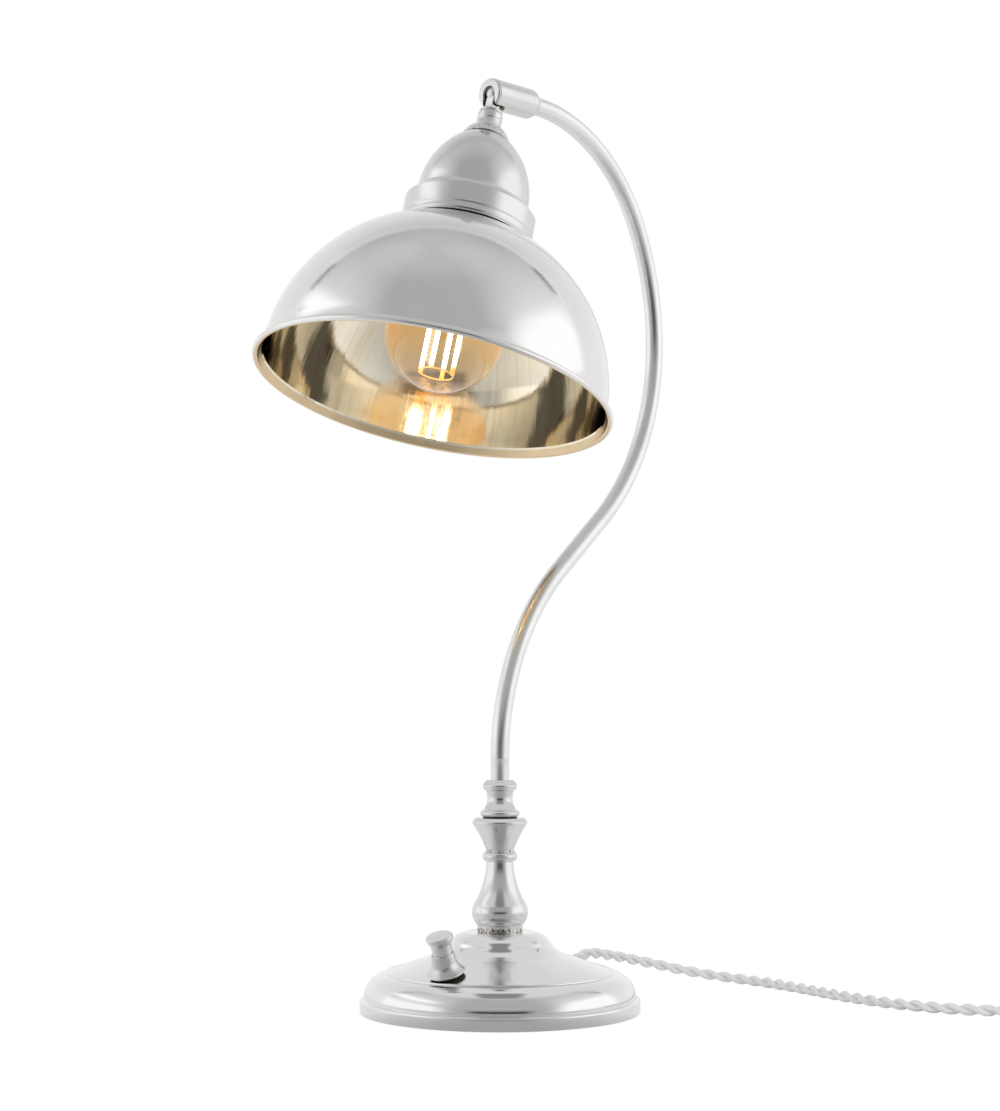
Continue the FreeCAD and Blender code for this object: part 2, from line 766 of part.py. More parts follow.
def column():
    """The hollow tie tube and what it clamps together, with the spigot screwed on its top."""
    washer_low = nut_room_top - size.washer_thickness
    nut_low = washer_low - size.nut_thickness
    tie_top = cup_high - 1.2
    keep(tube("column_tube", size.tie_bore, size.tie_radius, nut_low - 0.8, tie_top), "column_tube")
    keep(tube("tie_washer", tie_hole, size.washer_radius, washer_low, nut_room_top), "tie_washer")
    keep(hexagon_nut("tie_nut", nut_low, size.nut_thickness), "tie_nut")
    keep(rod("column_lead", size.lead_radius, collar_low + 8 - nut_low, Spot(0, 0, nut_low)), "column_lead")

    keep(turned("column_vase", [
        (tie_hole, vase_low),
        (size.vase_foot_radius, vase_low),
        (size.vase_foot_radius, vase_low + size.vase_foot_height),
        (size.vase_belly_radius, vase_low + size.vase_belly_height, size.vase_belly_bend),
        (size.vase_neck_radius, ring_low, -size.vase_neck_bend),
        (tie_hole, ring_low),
    ]), "column_vase")
    keep(turned("column_ring", [
        (tie_hole, ring_low),
        (size.ring_radius, ring_low),
        (size.ring_radius, cup_low, size.ring_bend),
        (tie_hole, cup_low),
    ]), "column_ring")
    counterbore = size.spigot_base_radius + size.thread_gap
    keep(turned("column_cup", [
        (tie_hole, cup_low),
        (size.cup_stem_radius + 0.4, cup_low),
        (size.cup_stem_radius, cup_low + 1.2),
        (size.cup_flare_radius, cup_high - size.cup_flare_drop, -size.cup_flare_bend),
        (size.cup_lip_radius, cup_high - size.cup_lip_drop),
        (size.cup_lip_radius, cup_high - size.cup_lip_drop + 1),
        (size.cup_top_radius, cup_high),
        (counterbore, cup_high),
        (counterbore, cup_high - size.spigot_base_depth),
        (tie_hole, cup_high - size.spigot_base_depth),
    ]), "column_cup")

    groove = size.spigot_radius - size.stop_groove_depth
    groove_half = size.stop_screw_radius + size.stop_clearance
    groove_middle = collar_low + size.stop_screw_height
    keep(turned("swivel_spigot", [
        (tie_hole, cup_high - size.spigot_base_depth),
        (size.spigot_base_radius, cup_high - size.spigot_base_depth),
        (size.spigot_base_radius, cup_high),
        (size.spigot_radius, cup_high),
        (size.spigot_radius, groove_middle - groove_half),
        (groove, groove_middle - groove_half),
        (groove, groove_middle + groove_half),
        (size.spigot_radius, groove_middle + groove_half),
        (size.spigot_radius, spigot_top - 0.4),
        (size.spigot_radius - 0.4, spigot_top),
        (size.spigot_bore, spigot_top),
        (size.spigot_bore, cup_high - 1),
        (tie_hole, cup_high - 1),
    ]), "swivel_spigot")
    washer_bore = size.spigot_radius + size.running_gap
    washer_high = cup_high + size.swivel_washer_thickness
    keep(tube("swivel_washer", washer_bore, size.swivel_washer_radius, cup_high, washer_high),
         "swivel_washer")


def hexagon_nut(name, low, thickness, spot=HOME):
    corner = size.nut_across_flats / 2 / cosine(as_size(30))
    turns = [as_size(60 * step) for step in range(6)]
    corners = [(corner * cosine(turn), corner * sine(turn)) for turn in turns]
    return plate(name, corners, low, thickness, spot, hole=tie_hole)


def switch():
    """Push switch: flared bezel screwed through the foot, button, spring, ring nut and body."""
    body_top = -size.barrel_depth - size.seat_gap
    bezel_radius = barrel_radius + size.bezel_overhang
    keep(turned("switch_bezel", [
        (chamber_radius, -size.barrel_depth),
        (barrel_radius, -size.barrel_depth),
        (barrel_radius, 0.05),
        (bezel_radius - 0.2, 0.05),
        (bezel_radius, size.bezel_lip - 0.6),
        (bezel_radius - 0.5, size.bezel_lip),
        (bezel_top_radius + size.bezel_neck_swell, size.bezel_neck_height, -size.bezel_flare_bend),
        (bezel_top_radius, size.bezel_height - 0.4),
        (bezel_top_radius - 0.2, size.bezel_height),
        (button_bore, size.bezel_height),
        (button_bore, size.chamber_top),
        (chamber_radius, size.chamber_top),
    ], SWITCH), "switch_bezel")
    flange_top = size.chamber_top - size.seat_gap
    flange_low = flange_top - size.button_flange_thickness
    button_radius = size.button_stem_radius + size.button_overhang
    cone_low = size.bezel_height + size.button_rise
    cone_high = cone_low + size.button_cone_height
    button_top = cone_high + size.button_cap_height
    keep(turned("switch_button", [
        (0, body_top),
        (size.plunger_radius, body_top),
        (size.plunger_radius, flange_low),
        (button_flange_radius, flange_low),
        (button_flange_radius, flange_top),
        (size.button_stem_radius, flange_top),
        (size.button_stem_radius, cone_low),
        (button_radius, cone_high),
        (button_radius, button_top - 0.6),
        (button_radius - 0.6, button_top, 0.7),
        (0, button_top),
    ], SWITCH), "switch_button")
    keep(tube("switch_nut", barrel_radius + size.thread_gap, switch_nut_radius,
              -1.6 - size.switch_nut_thickness, -1.6, SWITCH), "switch_nut")
    body_low = body_top - size.switch_body_depth
    well = size.plunger_radius + 0.2
    keep(turned("switch_body", [
        (0, body_low),
        (size.switch_body_radius, body_low),
        (size.switch_body_radius, body_top - 0.4),
        (size.switch_body_radius - 0.4, body_top),
        (well, body_top),
        (well, body_top - 4.5),
        (0, body_top - 4.5),
    ], SWITCH), "switch_body")
    tab = block("switch_tab", -0.4, 0.4, -2, 2, body_low - 3.6, 3.6)
    tab_places = [SWITCH.placement().multiply(FreeCAD.Placement(V(across, 0, 0), FreeCAD.Rotation()))
                  for across in (-4, 4)]
    fasteners("switch_terminals", tab, tab_places)

    spring = document.addObject("PartDesign::Body", "spring_body")
    section = new_sketch(spring, "XZ_Plane", "spring_section")
    wire = size.spring_wire
    edge = section.addGeometry(Part.Circle(V(0, 0, 0), V(0, 0, 1), wire.number), False)
    spring_low = body_top + wire + 0.1
    dimension(section, "DistanceX", size.spring_radius, edge, 3)
    dimension(section, "DistanceY", spring_low, edge, 3)
    dimension(section, "Radius", wire, edge)
    coil = spring.newObject("PartDesign::AdditiveHelix", "spring_coil")
    coil.Profile = section
    coil.ReferenceAxis = (section, ["V_Axis"])
    coil.Mode = "height-turns-angle"
    coil.setExpression("Height", (flange_low - wire - 0.1 - spring_low).formula)
    coil.Turns = 4
    keep(SWITCH.put(spring), "switch_spring")


def cord_outlet():
    """Bush in the foot's back, clamp bar with two screws, and the terminal block inside."""
    barrel = bush_barrel_radius
    flange = barrel + size.bush_flange
    bore = cord_bore
    keep(turned("cord_bush", [
        (bore, -4),
        (barrel, -4),
        (barrel, 0.05),
        (flange, 0.05),
        (flange - 0.3, 1.8),
        (barrel + 0.6, 2.6),
        (barrel + 0.2, size.bush_length),
        (bore + 0.6, size.bush_length),
        (bore, 2),
    ], OUTLET), "cord_bush")
    screw_across = size.clamp_screw_spread
    clamp_low = plate_high + 2 * size.cord_radius + 0.15
    clamp_high = clamp_low + 2.2
    clamp_spot = spot_on_ring(size.clamp_ring, size.outlet_bearing)
    bar_half = screw_across + 2.5
    bar = block("clamp_form", -3, 3, -bar_half, bar_half, clamp_low, 2.2)
    holes = [rod(f"clamp_hole_{number}", 1.55, clamp_high + 1, Spot(0, across))
             for number, across in enumerate((-screw_across, screw_across))]
    keep(cut("cord_clamp", bar, *holes, spot=clamp_spot), "cord_clamp")
    screw = turned("clamp_screw", [
        (0, plate_high),
        (1.5, plate_high),
        (1.5, clamp_high),
        (2.4, clamp_high),
        (2.4, clamp_high + 1.3),
        (0, clamp_high + 1.3),
    ])
    fasteners("clamp_screws", screw, [
        clamp_spot.placement().multiply(FreeCAD.Placement(V(0, across, 0), FreeCAD.Rotation()))
        for across in (-screw_across.number, screw_across.number)
    ])
    block_spot = spot_on_ring(size.terminal_ring, size.outlet_bearing)
    body = block("terminal_form", -7, 7, -7, 7, plate_high, 7.5)
    wells = [rod(f"terminal_well_{number}", 1.8, 6, Spot(0, across, plate_high + 4))
             for number, across in enumerate((-3.4, 3.4))]
    keep(cut("terminal_block", body, *wells, spot=block_spot), "terminal_block")


def arm():
    """Turned collar on the spigot, its stop screw, and the swan-necked tube brazed into it."""
    bore = size.spigot_radius + size.running_gap
    socket = size.tube_radius + 0.02
    socket_low = collar_bore_top + 1
    band_low = collar_high - size.collar_top_band
    form = turned("collar_form", [
        (bore, collar_low),
        (size.collar_bead_radius, collar_low),
        (size.collar_bead_radius - 0.2, collar_low + 3.2, size.collar_bead_bend),
        (size.collar_bead_radius - 1.0, collar_low + 3.4),
        (size.collar_bead_radius - 1.4, collar_low + 4.5),
        (size.collar_top_radius - 0.3, band_low - 0.3, -size.collar_waist_bend),
        (size.collar_top_radius, band_low),
        (size.collar_top_radius, collar_high - 0.85, size.collar_top_bend),
        (size.collar_top_radius - 0.5, collar_high),
        (socket, collar_high),
        (socket, socket_low),
        (size.spigot_bore, socket_low),
        (size.spigot_bore, collar_bore_top),
        (bore, collar_bore_top),
    ])
    screw_height = collar_low + size.stop_screw_height
    across, back = cosine(size.stop_screw_bearing), sine(size.stop_screw_bearing)
    sideways = Spot(0, 0, screw_height, (back, -across, 0), -90, (across, back, 0))
    hole = rod("stop_hole", size.stop_screw_radius + size.thread_gap, 8, sideways.along(4.5))
    keep(cut("arm_collar", form, hole), "arm_collar")
    tip = size.spigot_radius - size.stop_groove_depth + 0.35
    keep(rod("collar_stop_screw", size.stop_screw_radius, size.stop_screw_length,
             sideways.along(tip)), "collar_stop_screw")

    tube_low = socket_low + 0.05
    line = [
        (0, riser_top),
        (low_out, low_up, -size.low_bend),
        (slant_out, slant_up),
        (bow_out, bow_up, size.bow_low_bend),
        (high_out, high_up, size.bow_high_bend),
        (crown_out, crown_up, size.crown_bend),
    ]
    tube_end = ball_out + size.socket_depth + 0.3
    keep(swept("arm_tube", [(0, tube_low)] + line + [(tube_end, crown_up)],
               size.tube_radius, tube_low, size.tube_radius - size.tube_wall), "arm_tube")
    keep(swept("arm_lead", [(0, tube_low + 1)] + line + [(tube_end + 1, crown_up)],
               size.lead_radius, tube_low + 1), "arm_lead")


def knuckle():
    """Slotted ball housing on the arm's end, with the seat and disc springs behind the ball."""
    nose = housing_radius + size.nose_swell
    bore = housing_bore
    shell = housing_radius
    socket = size.tube_radius + 0.03
    form = turned("housing_form", [
        (0, bore),
        (bore, 0, -bore),
        (bore, -size.socket_depth),
        (socket, -size.socket_depth),
        (socket, -housing_length),
        (size.tube_radius + size.housing_end_wall, -housing_length),
        (shell, -size.housing_body, -size.housing_shoulder_bend),
        (shell, -5.4),
        (shell - 0.4, -5.0),
        (shell, -4.6),
        (nose, -0.4),
        (nose, 0),
        (0, nose, nose),
    ])
    half = size.stem_radius + size.slot_clearance
    front_end = -size.slot_back + half
    opening = block("slot_opening", -half, half, -14, size.slot_rise, front_end, 16)
    round_top = rod("slot_top", half, 14, Spot(0, size.slot_rise, 0))
    round_back = rod("slot_rear", half, 14, Spot(0, 0, front_end, (1, 0, 0), 90))
    keep(cut("joint_housing", form, opening, round_top, round_back, spot=KNUCKLE), "joint_housing")

    cup = size.ball_radius + size.seat_gap
    plunger = bore - size.seat_gap
    disc_height = size.disc_rise + size.disc_thickness
    disc_count = 3
    seat_back = size.socket_depth - disc_count * disc_height - 0.2
    keep(turned("ball_seat", [
        (size.seat_bore, -seat_back),
        (plunger, -seat_back),
        (plunger, -size.seat_front),
        (leg(cup, size.seat_front), -size.seat_front),
        (size.seat_bore, -leg(cup, size.seat_bore), -cup),
    ], KNUCKLE), "ball_seat")
    disc_radius = bore - size.disc_clearance
    disc = turned("disc_spring", [
        (size.disc_bore, size.disc_rise),
        (disc_radius, 0),
        (disc_radius, size.disc_thickness),
        (size.disc_bore, size.disc_rise + size.disc_thickness),
    ])
    flip = FreeCAD.Rotation(V(1, 0, 0), 180)
    start = (size.seat_gap - size.socket_depth).number
    spots = []
    for number in range(disc_count):
        flipped = number % 2
        height = start + (number + flipped) * disc_height.number
        spots.append(FreeCAD.Placement(V(0, 0, height), flip if flipped else FreeCAD.Rotation()))
    fasteners("seat_springs", disc, [KNUCKLE.placement().multiply(spot) for spot in spots])


def ball_stem():
    """Hollow ball and stem, the ring that locks above the neck and the collar that holds it."""
    stem = size.stem_radius
    ball = size.ball_radius
    form = turned("stem_form", [
        (0, ball),
        (stem, -leg(ball, stem), -ball),
        (stem, -stem_end),
        (0, -stem_end),
    ])
    down = rod("stem_passage", size.stem_bore, stem_end + 1, Spot(0, 0, -stem_end - 1))
    back = rod("ball_passage", size.stem_bore, ball + 1, Spot(0, 0, 0, (1, 0, 0), -90))
    keep(cut("ball_stem", form, down, back, spot=HEAD), "ball_stem")
    ring_bore = stem + 0.02
    ring_low = -size.lock_ring_depth - size.lock_ring_thickness
    keep(turned("lock_ring", [
        (ring_bore, ring_low),
        (size.lock_ring_radius, ring_low),
        (size.lock_ring_radius, -size.lock_ring_depth - 0.4),
        (size.lock_ring_radius - 0.4, -size.lock_ring_depth),
        (ring_bore, -size.lock_ring_depth),
    ], HEAD), "lock_ring")
    keep(tube("stem_collar", ring_bore, size.retainer_radius, -stem_end, -size.retainer_top, HEAD),
         "stem_collar")


def neck_and_bell():
    """Turned neck, hollow nipple and nut, and the spun bell that covers the lampholder."""
    bore = size.stem_radius + size.running_gap
    top = -size.lock_ring_depth - size.lock_ring_thickness - size.seat_gap
    room_top = -size.retainer_top + 0.1
    room = size.retainer_radius + size.retainer_clearance
    bottom = -size.neck_bottom
    neck = size.neck_radius
    keep(turned("head_neck", [
        (bore, top),
        (bore, room_top),
        (room, room_top),
        (room, -nipple_top + 0.1),
        (tie_hole, -nipple_top + 0.1),
        (tie_hole, bottom),
        (size.neck_flare_radius - 0.4, bottom),
        (size.neck_flare_radius, bottom + 0.4),
        (size.neck_flare_radius, bottom + 0.9),
        (size.neck_flare_radius - 0.6, bottom + 1.3),
        (neck + 0.1, bottom + 8.6, -size.neck_flare_bend),
        (neck + 0.1, bottom + 9.2),
        (neck - 0.5, bottom + 9.5),
        (neck - 0.5, bottom + 10.2),
        (neck, bottom + 10.5),
        (neck, top - 0.4),
        (neck - 0.4, top),
    ], HEAD), "head_neck")
    keep(tube("head_nipple", size.tie_bore, size.tie_radius, -nipple_bottom, -nipple_top, HEAD),
         "head_nipple")
    wall = size.bell_wall
    keep(hexagon_nut("head_nut", -head_nut_bottom, size.nut_thickness, HEAD), "head_nut")
    keep(turned("bell_cover", [
        (tie_hole, bottom - wall),
        (size.bell_shoulder_radius - 1.2, bottom - wall),
        (size.bell_radius - wall, -bell_dome_depth, -(size.bell_dome_bend - wall)),
        (size.bell_radius - wall, -bell_straight_depth - 0.5),
        (size.band_radius - wall, -band_top - wall, size.bell_flare_bend + wall),
        (size.band_radius - wall, -band_bottom - 2),
        (size.band_radius - 2.1, -bell_bottom),
        (bell_mouth, -bell_bottom),
        (size.band_radius - 0.4, -band_bottom - 2.4, 1.8),
        (size.band_radius - 0.4, -band_bottom - 0.4),
        (size.band_radius, -band_bottom),
        (size.band_radius, -band_top),
        (size.bell_radius, -bell_straight_depth, -size.bell_flare_bend),
        (size.bell_radius, -bell_dome_depth),
        (size.bell_shoulder_radius, bottom - 0.4, size.bell_dome_bend),
        (size.bell_shoulder_radius - 0.6, bottom),
        (tie_hole, bottom),
    ], HEAD), "bell_cover")


def lampholder():
    """Screw lampholder: cap, sleeve with its flange, ceramic core, contact and screw shell."""
    outer = size.holder_radius
    inner = outer - size.holder_wall
    boss = 8.0
    boss_low = -nipple_bottom - 0.5
    cap_low = -holder_split + size.seat_gap
    flange_low = -shade_top + size.seat_gap
    flange_high = flange_low + size.holder_flange_thickness
    nose = -shade_top - size.holder_nose
    keep(turned("holder_cap", [
        (tie_hole, -holder_top),
        (tie_hole, boss_low),
        (boss, boss_low),
        (boss, -holder_top - 2.2),
        (outer - 8.6, -holder_top - 2.2),
        (inner, -holder_top - 8, -10),
        (inner, cap_low),
        (outer, cap_low),
        (outer, -holder_top - 7.5),
        (outer - 8, -holder_top, 9.5),
    ], HEAD), "holder_cap")
    keep(turned("holder_body", [
        (inner, nose),
        (outer, nose),
        (outer, flange_low),
        (size.holder_flange_radius, flange_low),
        (size.holder_flange_radius, flange_high),
        (outer, flange_high),
        (outer, -holder_split),
        (inner, -holder_split),
    ], HEAD), "holder_body")
    plug_radius = screw_shell_bore - size.seat_gap
    keep(turned("holder_core", [
        (0, -core_bottom),
        (plug_radius, -core_bottom),
        (plug_radius, -core_step),
        (inner - 0.1, -core_step),
        (inner - 0.1, -holder_split - 0.5),
        (0, -holder_split - 0.5),
    ], HEAD), "holder_core")
    keep(turned("holder_contact", [
        (0, -bulb_tip_depth + 0.05),
        (1.8, -bulb_tip_depth + 0.05),
        (3.6, -core_bottom - 1),
        (3.6, -core_bottom),
        (0, -core_bottom),
    ], HEAD), "holder_contact")
    keep(tube("holder_screw_shell", screw_shell_bore, screw_shell_bore + size.screw_shell_wall,
              -core_step - size.screw_shell_length, -core_step - size.seat_gap, HEAD), "holder_screw_shell")
    ring_top = -shade_top - size.shade_wall - size.seat_gap
    ring_bore = outer + size.thread_gap
    keep(tube("shade_ring", ring_bore, size.shade_flat_radius - size.shade_ring_inset,
              ring_top - size.shade_ring_height, ring_top, HEAD), "shade_ring")


def shade():
    """Spun reflector: a flat seat round its hole, a dome, and a flared lip with a wired bead."""
    wall = size.shade_wall
    dome = size.shade_radius
    bead = size.shade_bead
    bead_ring = dome + size.shade_lip_width
    bead_low = -shade_centre - size.shade_lip_drop
    equator = -shade_centre
    hole = size.holder_radius + size.shade_hole_clearance
    under_flat = shade_centre - shade_top - wall
    keep(turned("shade", [
        (hole, -shade_top),
        (hole, -shade_top - wall),
        (leg(dome - wall, under_flat), -shade_top - wall),
        (dome - wall, equator, -(dome - wall)),
        (bead_ring - 0.95 * bead, bead_low - 0.312 * bead),
        (bead_ring + bead, bead_low, bead),
        (bead_ring - 0.707 * bead, bead_low + 0.707 * bead, bead),
        (dome, equator + 0.4, -5),
        (size.shade_flat_radius, -shade_top, dome),
    ], HEAD), "shade")


def bulb():
    """Globe lamp: brass cap, blown globe, glass mount and four filament sticks."""
    cap = size.bulb_cap_radius
    tip = -bulb_tip_depth
    cap_low = -bulb_cap_bottom
    keep(turned("bulb_cap", [
        (0, tip),
        (0, tip - 3.7),
        (9.2, tip - 3.7),
        (cap - 0.5, tip - 5.4),
        (cap - 0.5, cap_low),
        (cap, cap_low),
        (cap, tip - 4.7),
        (9.5, tip - 2.9),
        (4, tip),
    ], HEAD), "bulb_cap")
    globe = size.bulb_radius
    centre = -bulb_centre
    wall = size.bulb_wall
    glass_neck = cap - 0.6
    neck = size.bulb_neck_radius
    join = size.bulb_join_radius
    join_inner = join - wall
    keep(turned("bulb_glass", [
        (glass_neck - wall, cap_low + 10),
        (glass_neck - wall, cap_low - 0.4),
        (neck - wall, cap_low - 1.9),
        (join_inner, centre + leg(globe - wall, join_inner), size.bulb_neck_bend + wall),
        (0, centre - globe + wall, -(globe - wall)),
        (0, centre - globe),
        (join, centre + leg(globe, join), globe),
        (neck, cap_low - 1.5, -size.bulb_neck_bend),
        (glass_neck, cap_low - 0.2),
        (glass_neck, cap_low + 10),
    ], HEAD), "bulb_glass")
    filament_top = centre + size.filament_rise
    keep(turned("bulb_mount", [
        (0, cap_low + 6),
        (0, filament_top + 4),
        (2.2, filament_top + 5),
        (2.6, filament_top + 12),
        (5, cap_low - 10),
        (7.5, cap_low + 1),
        (10.8, cap_low + 6),
    ], HEAD), "bulb_mount")
    stick = rod("filament_stick", size.filament_radius, size.filament_length,
                Spot(0, 0, filament_top - size.filament_length))
    sticks = []
    for quarter in range(4):
        bearing = math.radians(25.5 + 90 * quarter)
        ring = SIZES["filament_ring"]
        aside = V(ring * math.cos(bearing), ring * math.sin(bearing), 0)
        sticks.append(HEAD.placement().multiply(FreeCAD.Placement(aside, FreeCAD.Rotation())))
    fasteners("bulb_filaments", stick, sticks)


def cord_and_plug():
    """Cord to a coil beside the lamp, its tail, and the flat two-pin plug."""
    cord_tube("cord", CORD_ROUTE)
    coil_low = 0.1
    keep(tube("cord_coil", size.coil_inner_radius, size.coil_outer_radius, coil_low,
              coil_low + size.coil_height, Spot(size.coil_x, size.coil_y)), "cord_coil")
    cord_tube("cord_tail", TAIL_ROUTE)

    x, y, middle = TAIL_ROUTE[-1]
    plug_spot = Spot(x, y, middle, angle=size.plug_bearing)
    relief = document.addObject("Part::Cone", "plug_relief")
    relief.Radius1 = 4.2
    relief.Radius2 = 6.0
    relief.setExpression("Height", (size.plug_relief_length + 1).formula)
    Spot(0.05, 0, 0, (0, 1, 0), 90).put(relief)
    half = size.plug_width / 2
    face = size.plug_relief_length + size.plug_length
    grip = plate("plug_grip", [
        (size.plug_relief_length, -half + 5),
        (size.plug_relief_length + 9, -half, 14),
        (face - 2, -half),
        (face, -half + 2, 2),
        (face, half - 2),
        (face - 2, half, 2),
        (size.plug_relief_length + 9, half),
        (size.plug_relief_length, half - 5, 14),
    ], -size.plug_thickness / 2, size.plug_thickness)
    plug = fused("plug_body", [relief, grip])
    keep(plug_spot.put(plug), "plug_body")
    pin = rod("plug_pin", size.pin_radius, size.pin_length, Spot(face, 0, 0, (0, 1, 0), 90))
    reach = SIZES["pin_spacing"] / 2
    fasteners("plug_pins", pin, [
        plug_spot.placement().multiply(FreeCAD.Placement(V(0, across, 0), FreeCAD.Rotation()))
        for across in (-reach, reach)
    ])


def check_and_export():
    """Stop on any piece that failed or isn't sound, then write one STEP file per piece."""
    document.recompute()
    for thing in document.Objects:
        if "Invalid" in thing.State or "Error" in thing.State:
            raise RuntimeError(f"{thing.Label} did not compute: {thing.State}")
    os.makedirs("parts", exist_ok=True)
    triangles = 0
    for node in nodes:
        shape = node.Shape
        if shape.isNull() or not shape.isValid() or not shape.Solids:
            raise RuntimeError(f"{node.Label} is not a sound solid")
        triangles += len(shape.tessellate(0.1)[1])
        shape.exportStep(f"parts/{node.Label}.step")
    print(f"{len(nodes)} pieces, about {triangles} triangles")
    print(f"ball centre y {ball_out.number:.3f} z {crown_up.number:.3f}")
    for name, spot in (("switch", SWITCH), ("outlet", OUTLET)):
        place = [round(value.number, 4) for value in spot.point]
        way = [round(as_size(value).number, 5) for value in spot.way]
        print(name, place, round(spot.angle.number, 4), way)


foot_shell()
foot_filling()
column()
switch()
cord_outlet()
arm()
knuckle()
ball_stem()
neck_and_bell()
lampholder()
shade()
bulb()
cord_and_plug()
check_and_export()
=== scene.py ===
import math

import bmesh
import bpy
from mathutils import Matrix, Vector


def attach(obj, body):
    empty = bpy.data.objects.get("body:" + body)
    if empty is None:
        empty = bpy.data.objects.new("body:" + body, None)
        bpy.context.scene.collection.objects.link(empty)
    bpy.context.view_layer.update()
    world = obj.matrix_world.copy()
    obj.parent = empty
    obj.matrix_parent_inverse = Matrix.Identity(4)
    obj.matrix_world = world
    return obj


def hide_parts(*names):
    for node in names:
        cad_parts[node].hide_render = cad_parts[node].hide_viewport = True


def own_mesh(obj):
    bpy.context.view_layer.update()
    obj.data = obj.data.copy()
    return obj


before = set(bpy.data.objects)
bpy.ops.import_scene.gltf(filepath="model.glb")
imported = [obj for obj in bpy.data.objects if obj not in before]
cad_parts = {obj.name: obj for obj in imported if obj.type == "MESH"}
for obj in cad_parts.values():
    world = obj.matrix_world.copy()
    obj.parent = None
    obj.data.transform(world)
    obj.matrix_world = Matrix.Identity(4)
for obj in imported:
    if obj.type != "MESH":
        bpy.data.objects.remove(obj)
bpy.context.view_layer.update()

scene = bpy.context.scene

# ---------------------------------------------------------------------------
# Camera: a long lens a little above the table, looking slightly upwards at
# the lamp from its front right.
def linked(name, data):
    """A new object in the scene that carries this mesh, curve, lamp or lens."""
    item = bpy.data.objects.new(name, data)
    scene.collection.objects.link(item)
    return item


camera_bearing = math.radians(43.0)
camera_lens = bpy.data.cameras.new("camera")
camera_lens.lens = 71.93
camera_lens.sensor_width = 36.0
camera = linked("camera", camera_lens)
camera.location = (0.8184, -0.8776, 0.170)
camera.rotation_euler = (math.radians(93.55), 0.0, camera_bearing)
scene.camera = camera


# ---------------------------------------------------------------------------
# Cord: two textile-covered cores twisted round each other, from the bush in
# the back of the foot to a loose coil of spare cord and the plug.
class Wire:
    """A node's output that can be used in sums: each operation adds its own Math node."""

    def __init__(self, maker, socket):
        self.maker = maker
        self.socket = socket

    def sum(self, operation, *terms):
        return self.maker.add("ShaderNodeMath", {"operation": operation}, dict(enumerate(terms)))

    def __add__(self, other):
        return self.sum("ADD", self, other)

    def __radd__(self, other):
        return self.sum("ADD", other, self)

    def __sub__(self, other):
        return self.sum("SUBTRACT", self, other)

    def __rsub__(self, other):
        return self.sum("SUBTRACT", other, self)

    def __mul__(self, other):
        return self.sum("MULTIPLY", self, other)

    def __truediv__(self, other):
        return self.sum("DIVIDE", self, other)

    def sine(self):
        return self.sum("SINE", self)

    def cosine(self):
        return self.sum("COSINE", self)

    def absolute(self):
        return self.sum("ABSOLUTE", self)

    def root(self):
        return self.sum("SQRT", self)

    def held(self):
        """The same value kept between 0 and 1."""
        return self.sum("MINIMUM", self.sum("MAXIMUM", self, 0.0), 1.0)

    def rising(self, start, end):
        """0 below start, 1 above end and an even slope between them."""
        return ((self - start) * (1.0 / (end - start))).held()

    def output(self, name):
        return Wire(self.maker, self.socket.node.outputs[name])


class Maker:
    """Adds nodes to one tree."""

    def __init__(self, tree):
        self.tree = tree

    def add(self, kind, settings=None, sockets=None, output=0):
        node = self.tree.nodes.new(kind)
        for name, value in (settings or {}).items():
            setattr(node, name, value)
        for name, value in (sockets or {}).items():
            if isinstance(value, Wire):
                self.tree.links.new(value.socket, node.inputs[name])
            else:
                node.inputs[name].default_value = value
        return Wire(self, node.outputs[output]) if len(node.outputs) else node

    def blend(self, share, first, second):
        """A colour between two colours."""
        return self.add("ShaderNodeMix", {"data_type": "RGBA"}, {0: share, 6: first, 7: second}, 2)

    def place(self):
        """Where a point of a piece lies in the lamp."""
        return self.add("ShaderNodeTexCoord", output="Object")

    def height(self):
        """How high a point of a piece lies above the table."""
        return self.add("ShaderNodeSeparateXYZ", sockets={"Vector": self.place()}).output("Z")

    def noise(self, place, scale, detail):
        return self.add("ShaderNodeTexNoise", sockets={"Vector": place, "Scale": scale, "Detail": detail})

    def bump(self, strength, distance, height):
        return self.add("ShaderNodeBump", sockets={
            "Strength": strength, "Distance": distance, "Height": height})


def new_tree(name, inputs):
    """A Geometry Nodes tree with a geometry input, named inputs and a geometry output."""
    tree = bpy.data.node_groups.new(name, "GeometryNodeTree")
    tree.interface.new_socket("Geometry", in_out="INPUT", socket_type="NodeSocketGeometry")
    for label, kind in inputs:
        tree.interface.new_socket(label, in_out="INPUT", socket_type=f"NodeSocket{kind}")
    tree.interface.new_socket("Geometry", in_out="OUTPUT", socket_type="NodeSocketGeometry")
    return Maker(tree)


def grown(piece_name, source, maker, values):
    """Run a Geometry Nodes tree on a source object and keep the result as a plain mesh."""
    modifier = source.modifiers.new("grow", "NODES")
    modifier.node_group = maker.tree
    for socket in maker.tree.interface.items_tree:
        if socket.in_out == "INPUT" and socket.name in values:
            modifier[socket.identifier] = values[socket.name]
    result = source.evaluated_get(bpy.context.evaluated_depsgraph_get())
    mesh = bpy.data.meshes.new_from_object(result)
    mesh.name = piece_name
    source.modifiers.remove(modifier)
    bpy.data.objects.remove(source)
    return linked(piece_name, mesh)


def new_material(name, constants):
    """A material with its surface shader, and the maker of its nodes."""
    material = bpy.data.materials.new(name)
    material.use_nodes = True
    shader = material.node_tree.nodes["Principled BSDF"]
    for socket, value in constants.items():
        shader.inputs[socket].default_value = value
    return material, shader, Maker(material.node_tree)


def feed(maker, shader, socket, wire):
    maker.tree.links.new(wire.socket, shader.inputs[socket])


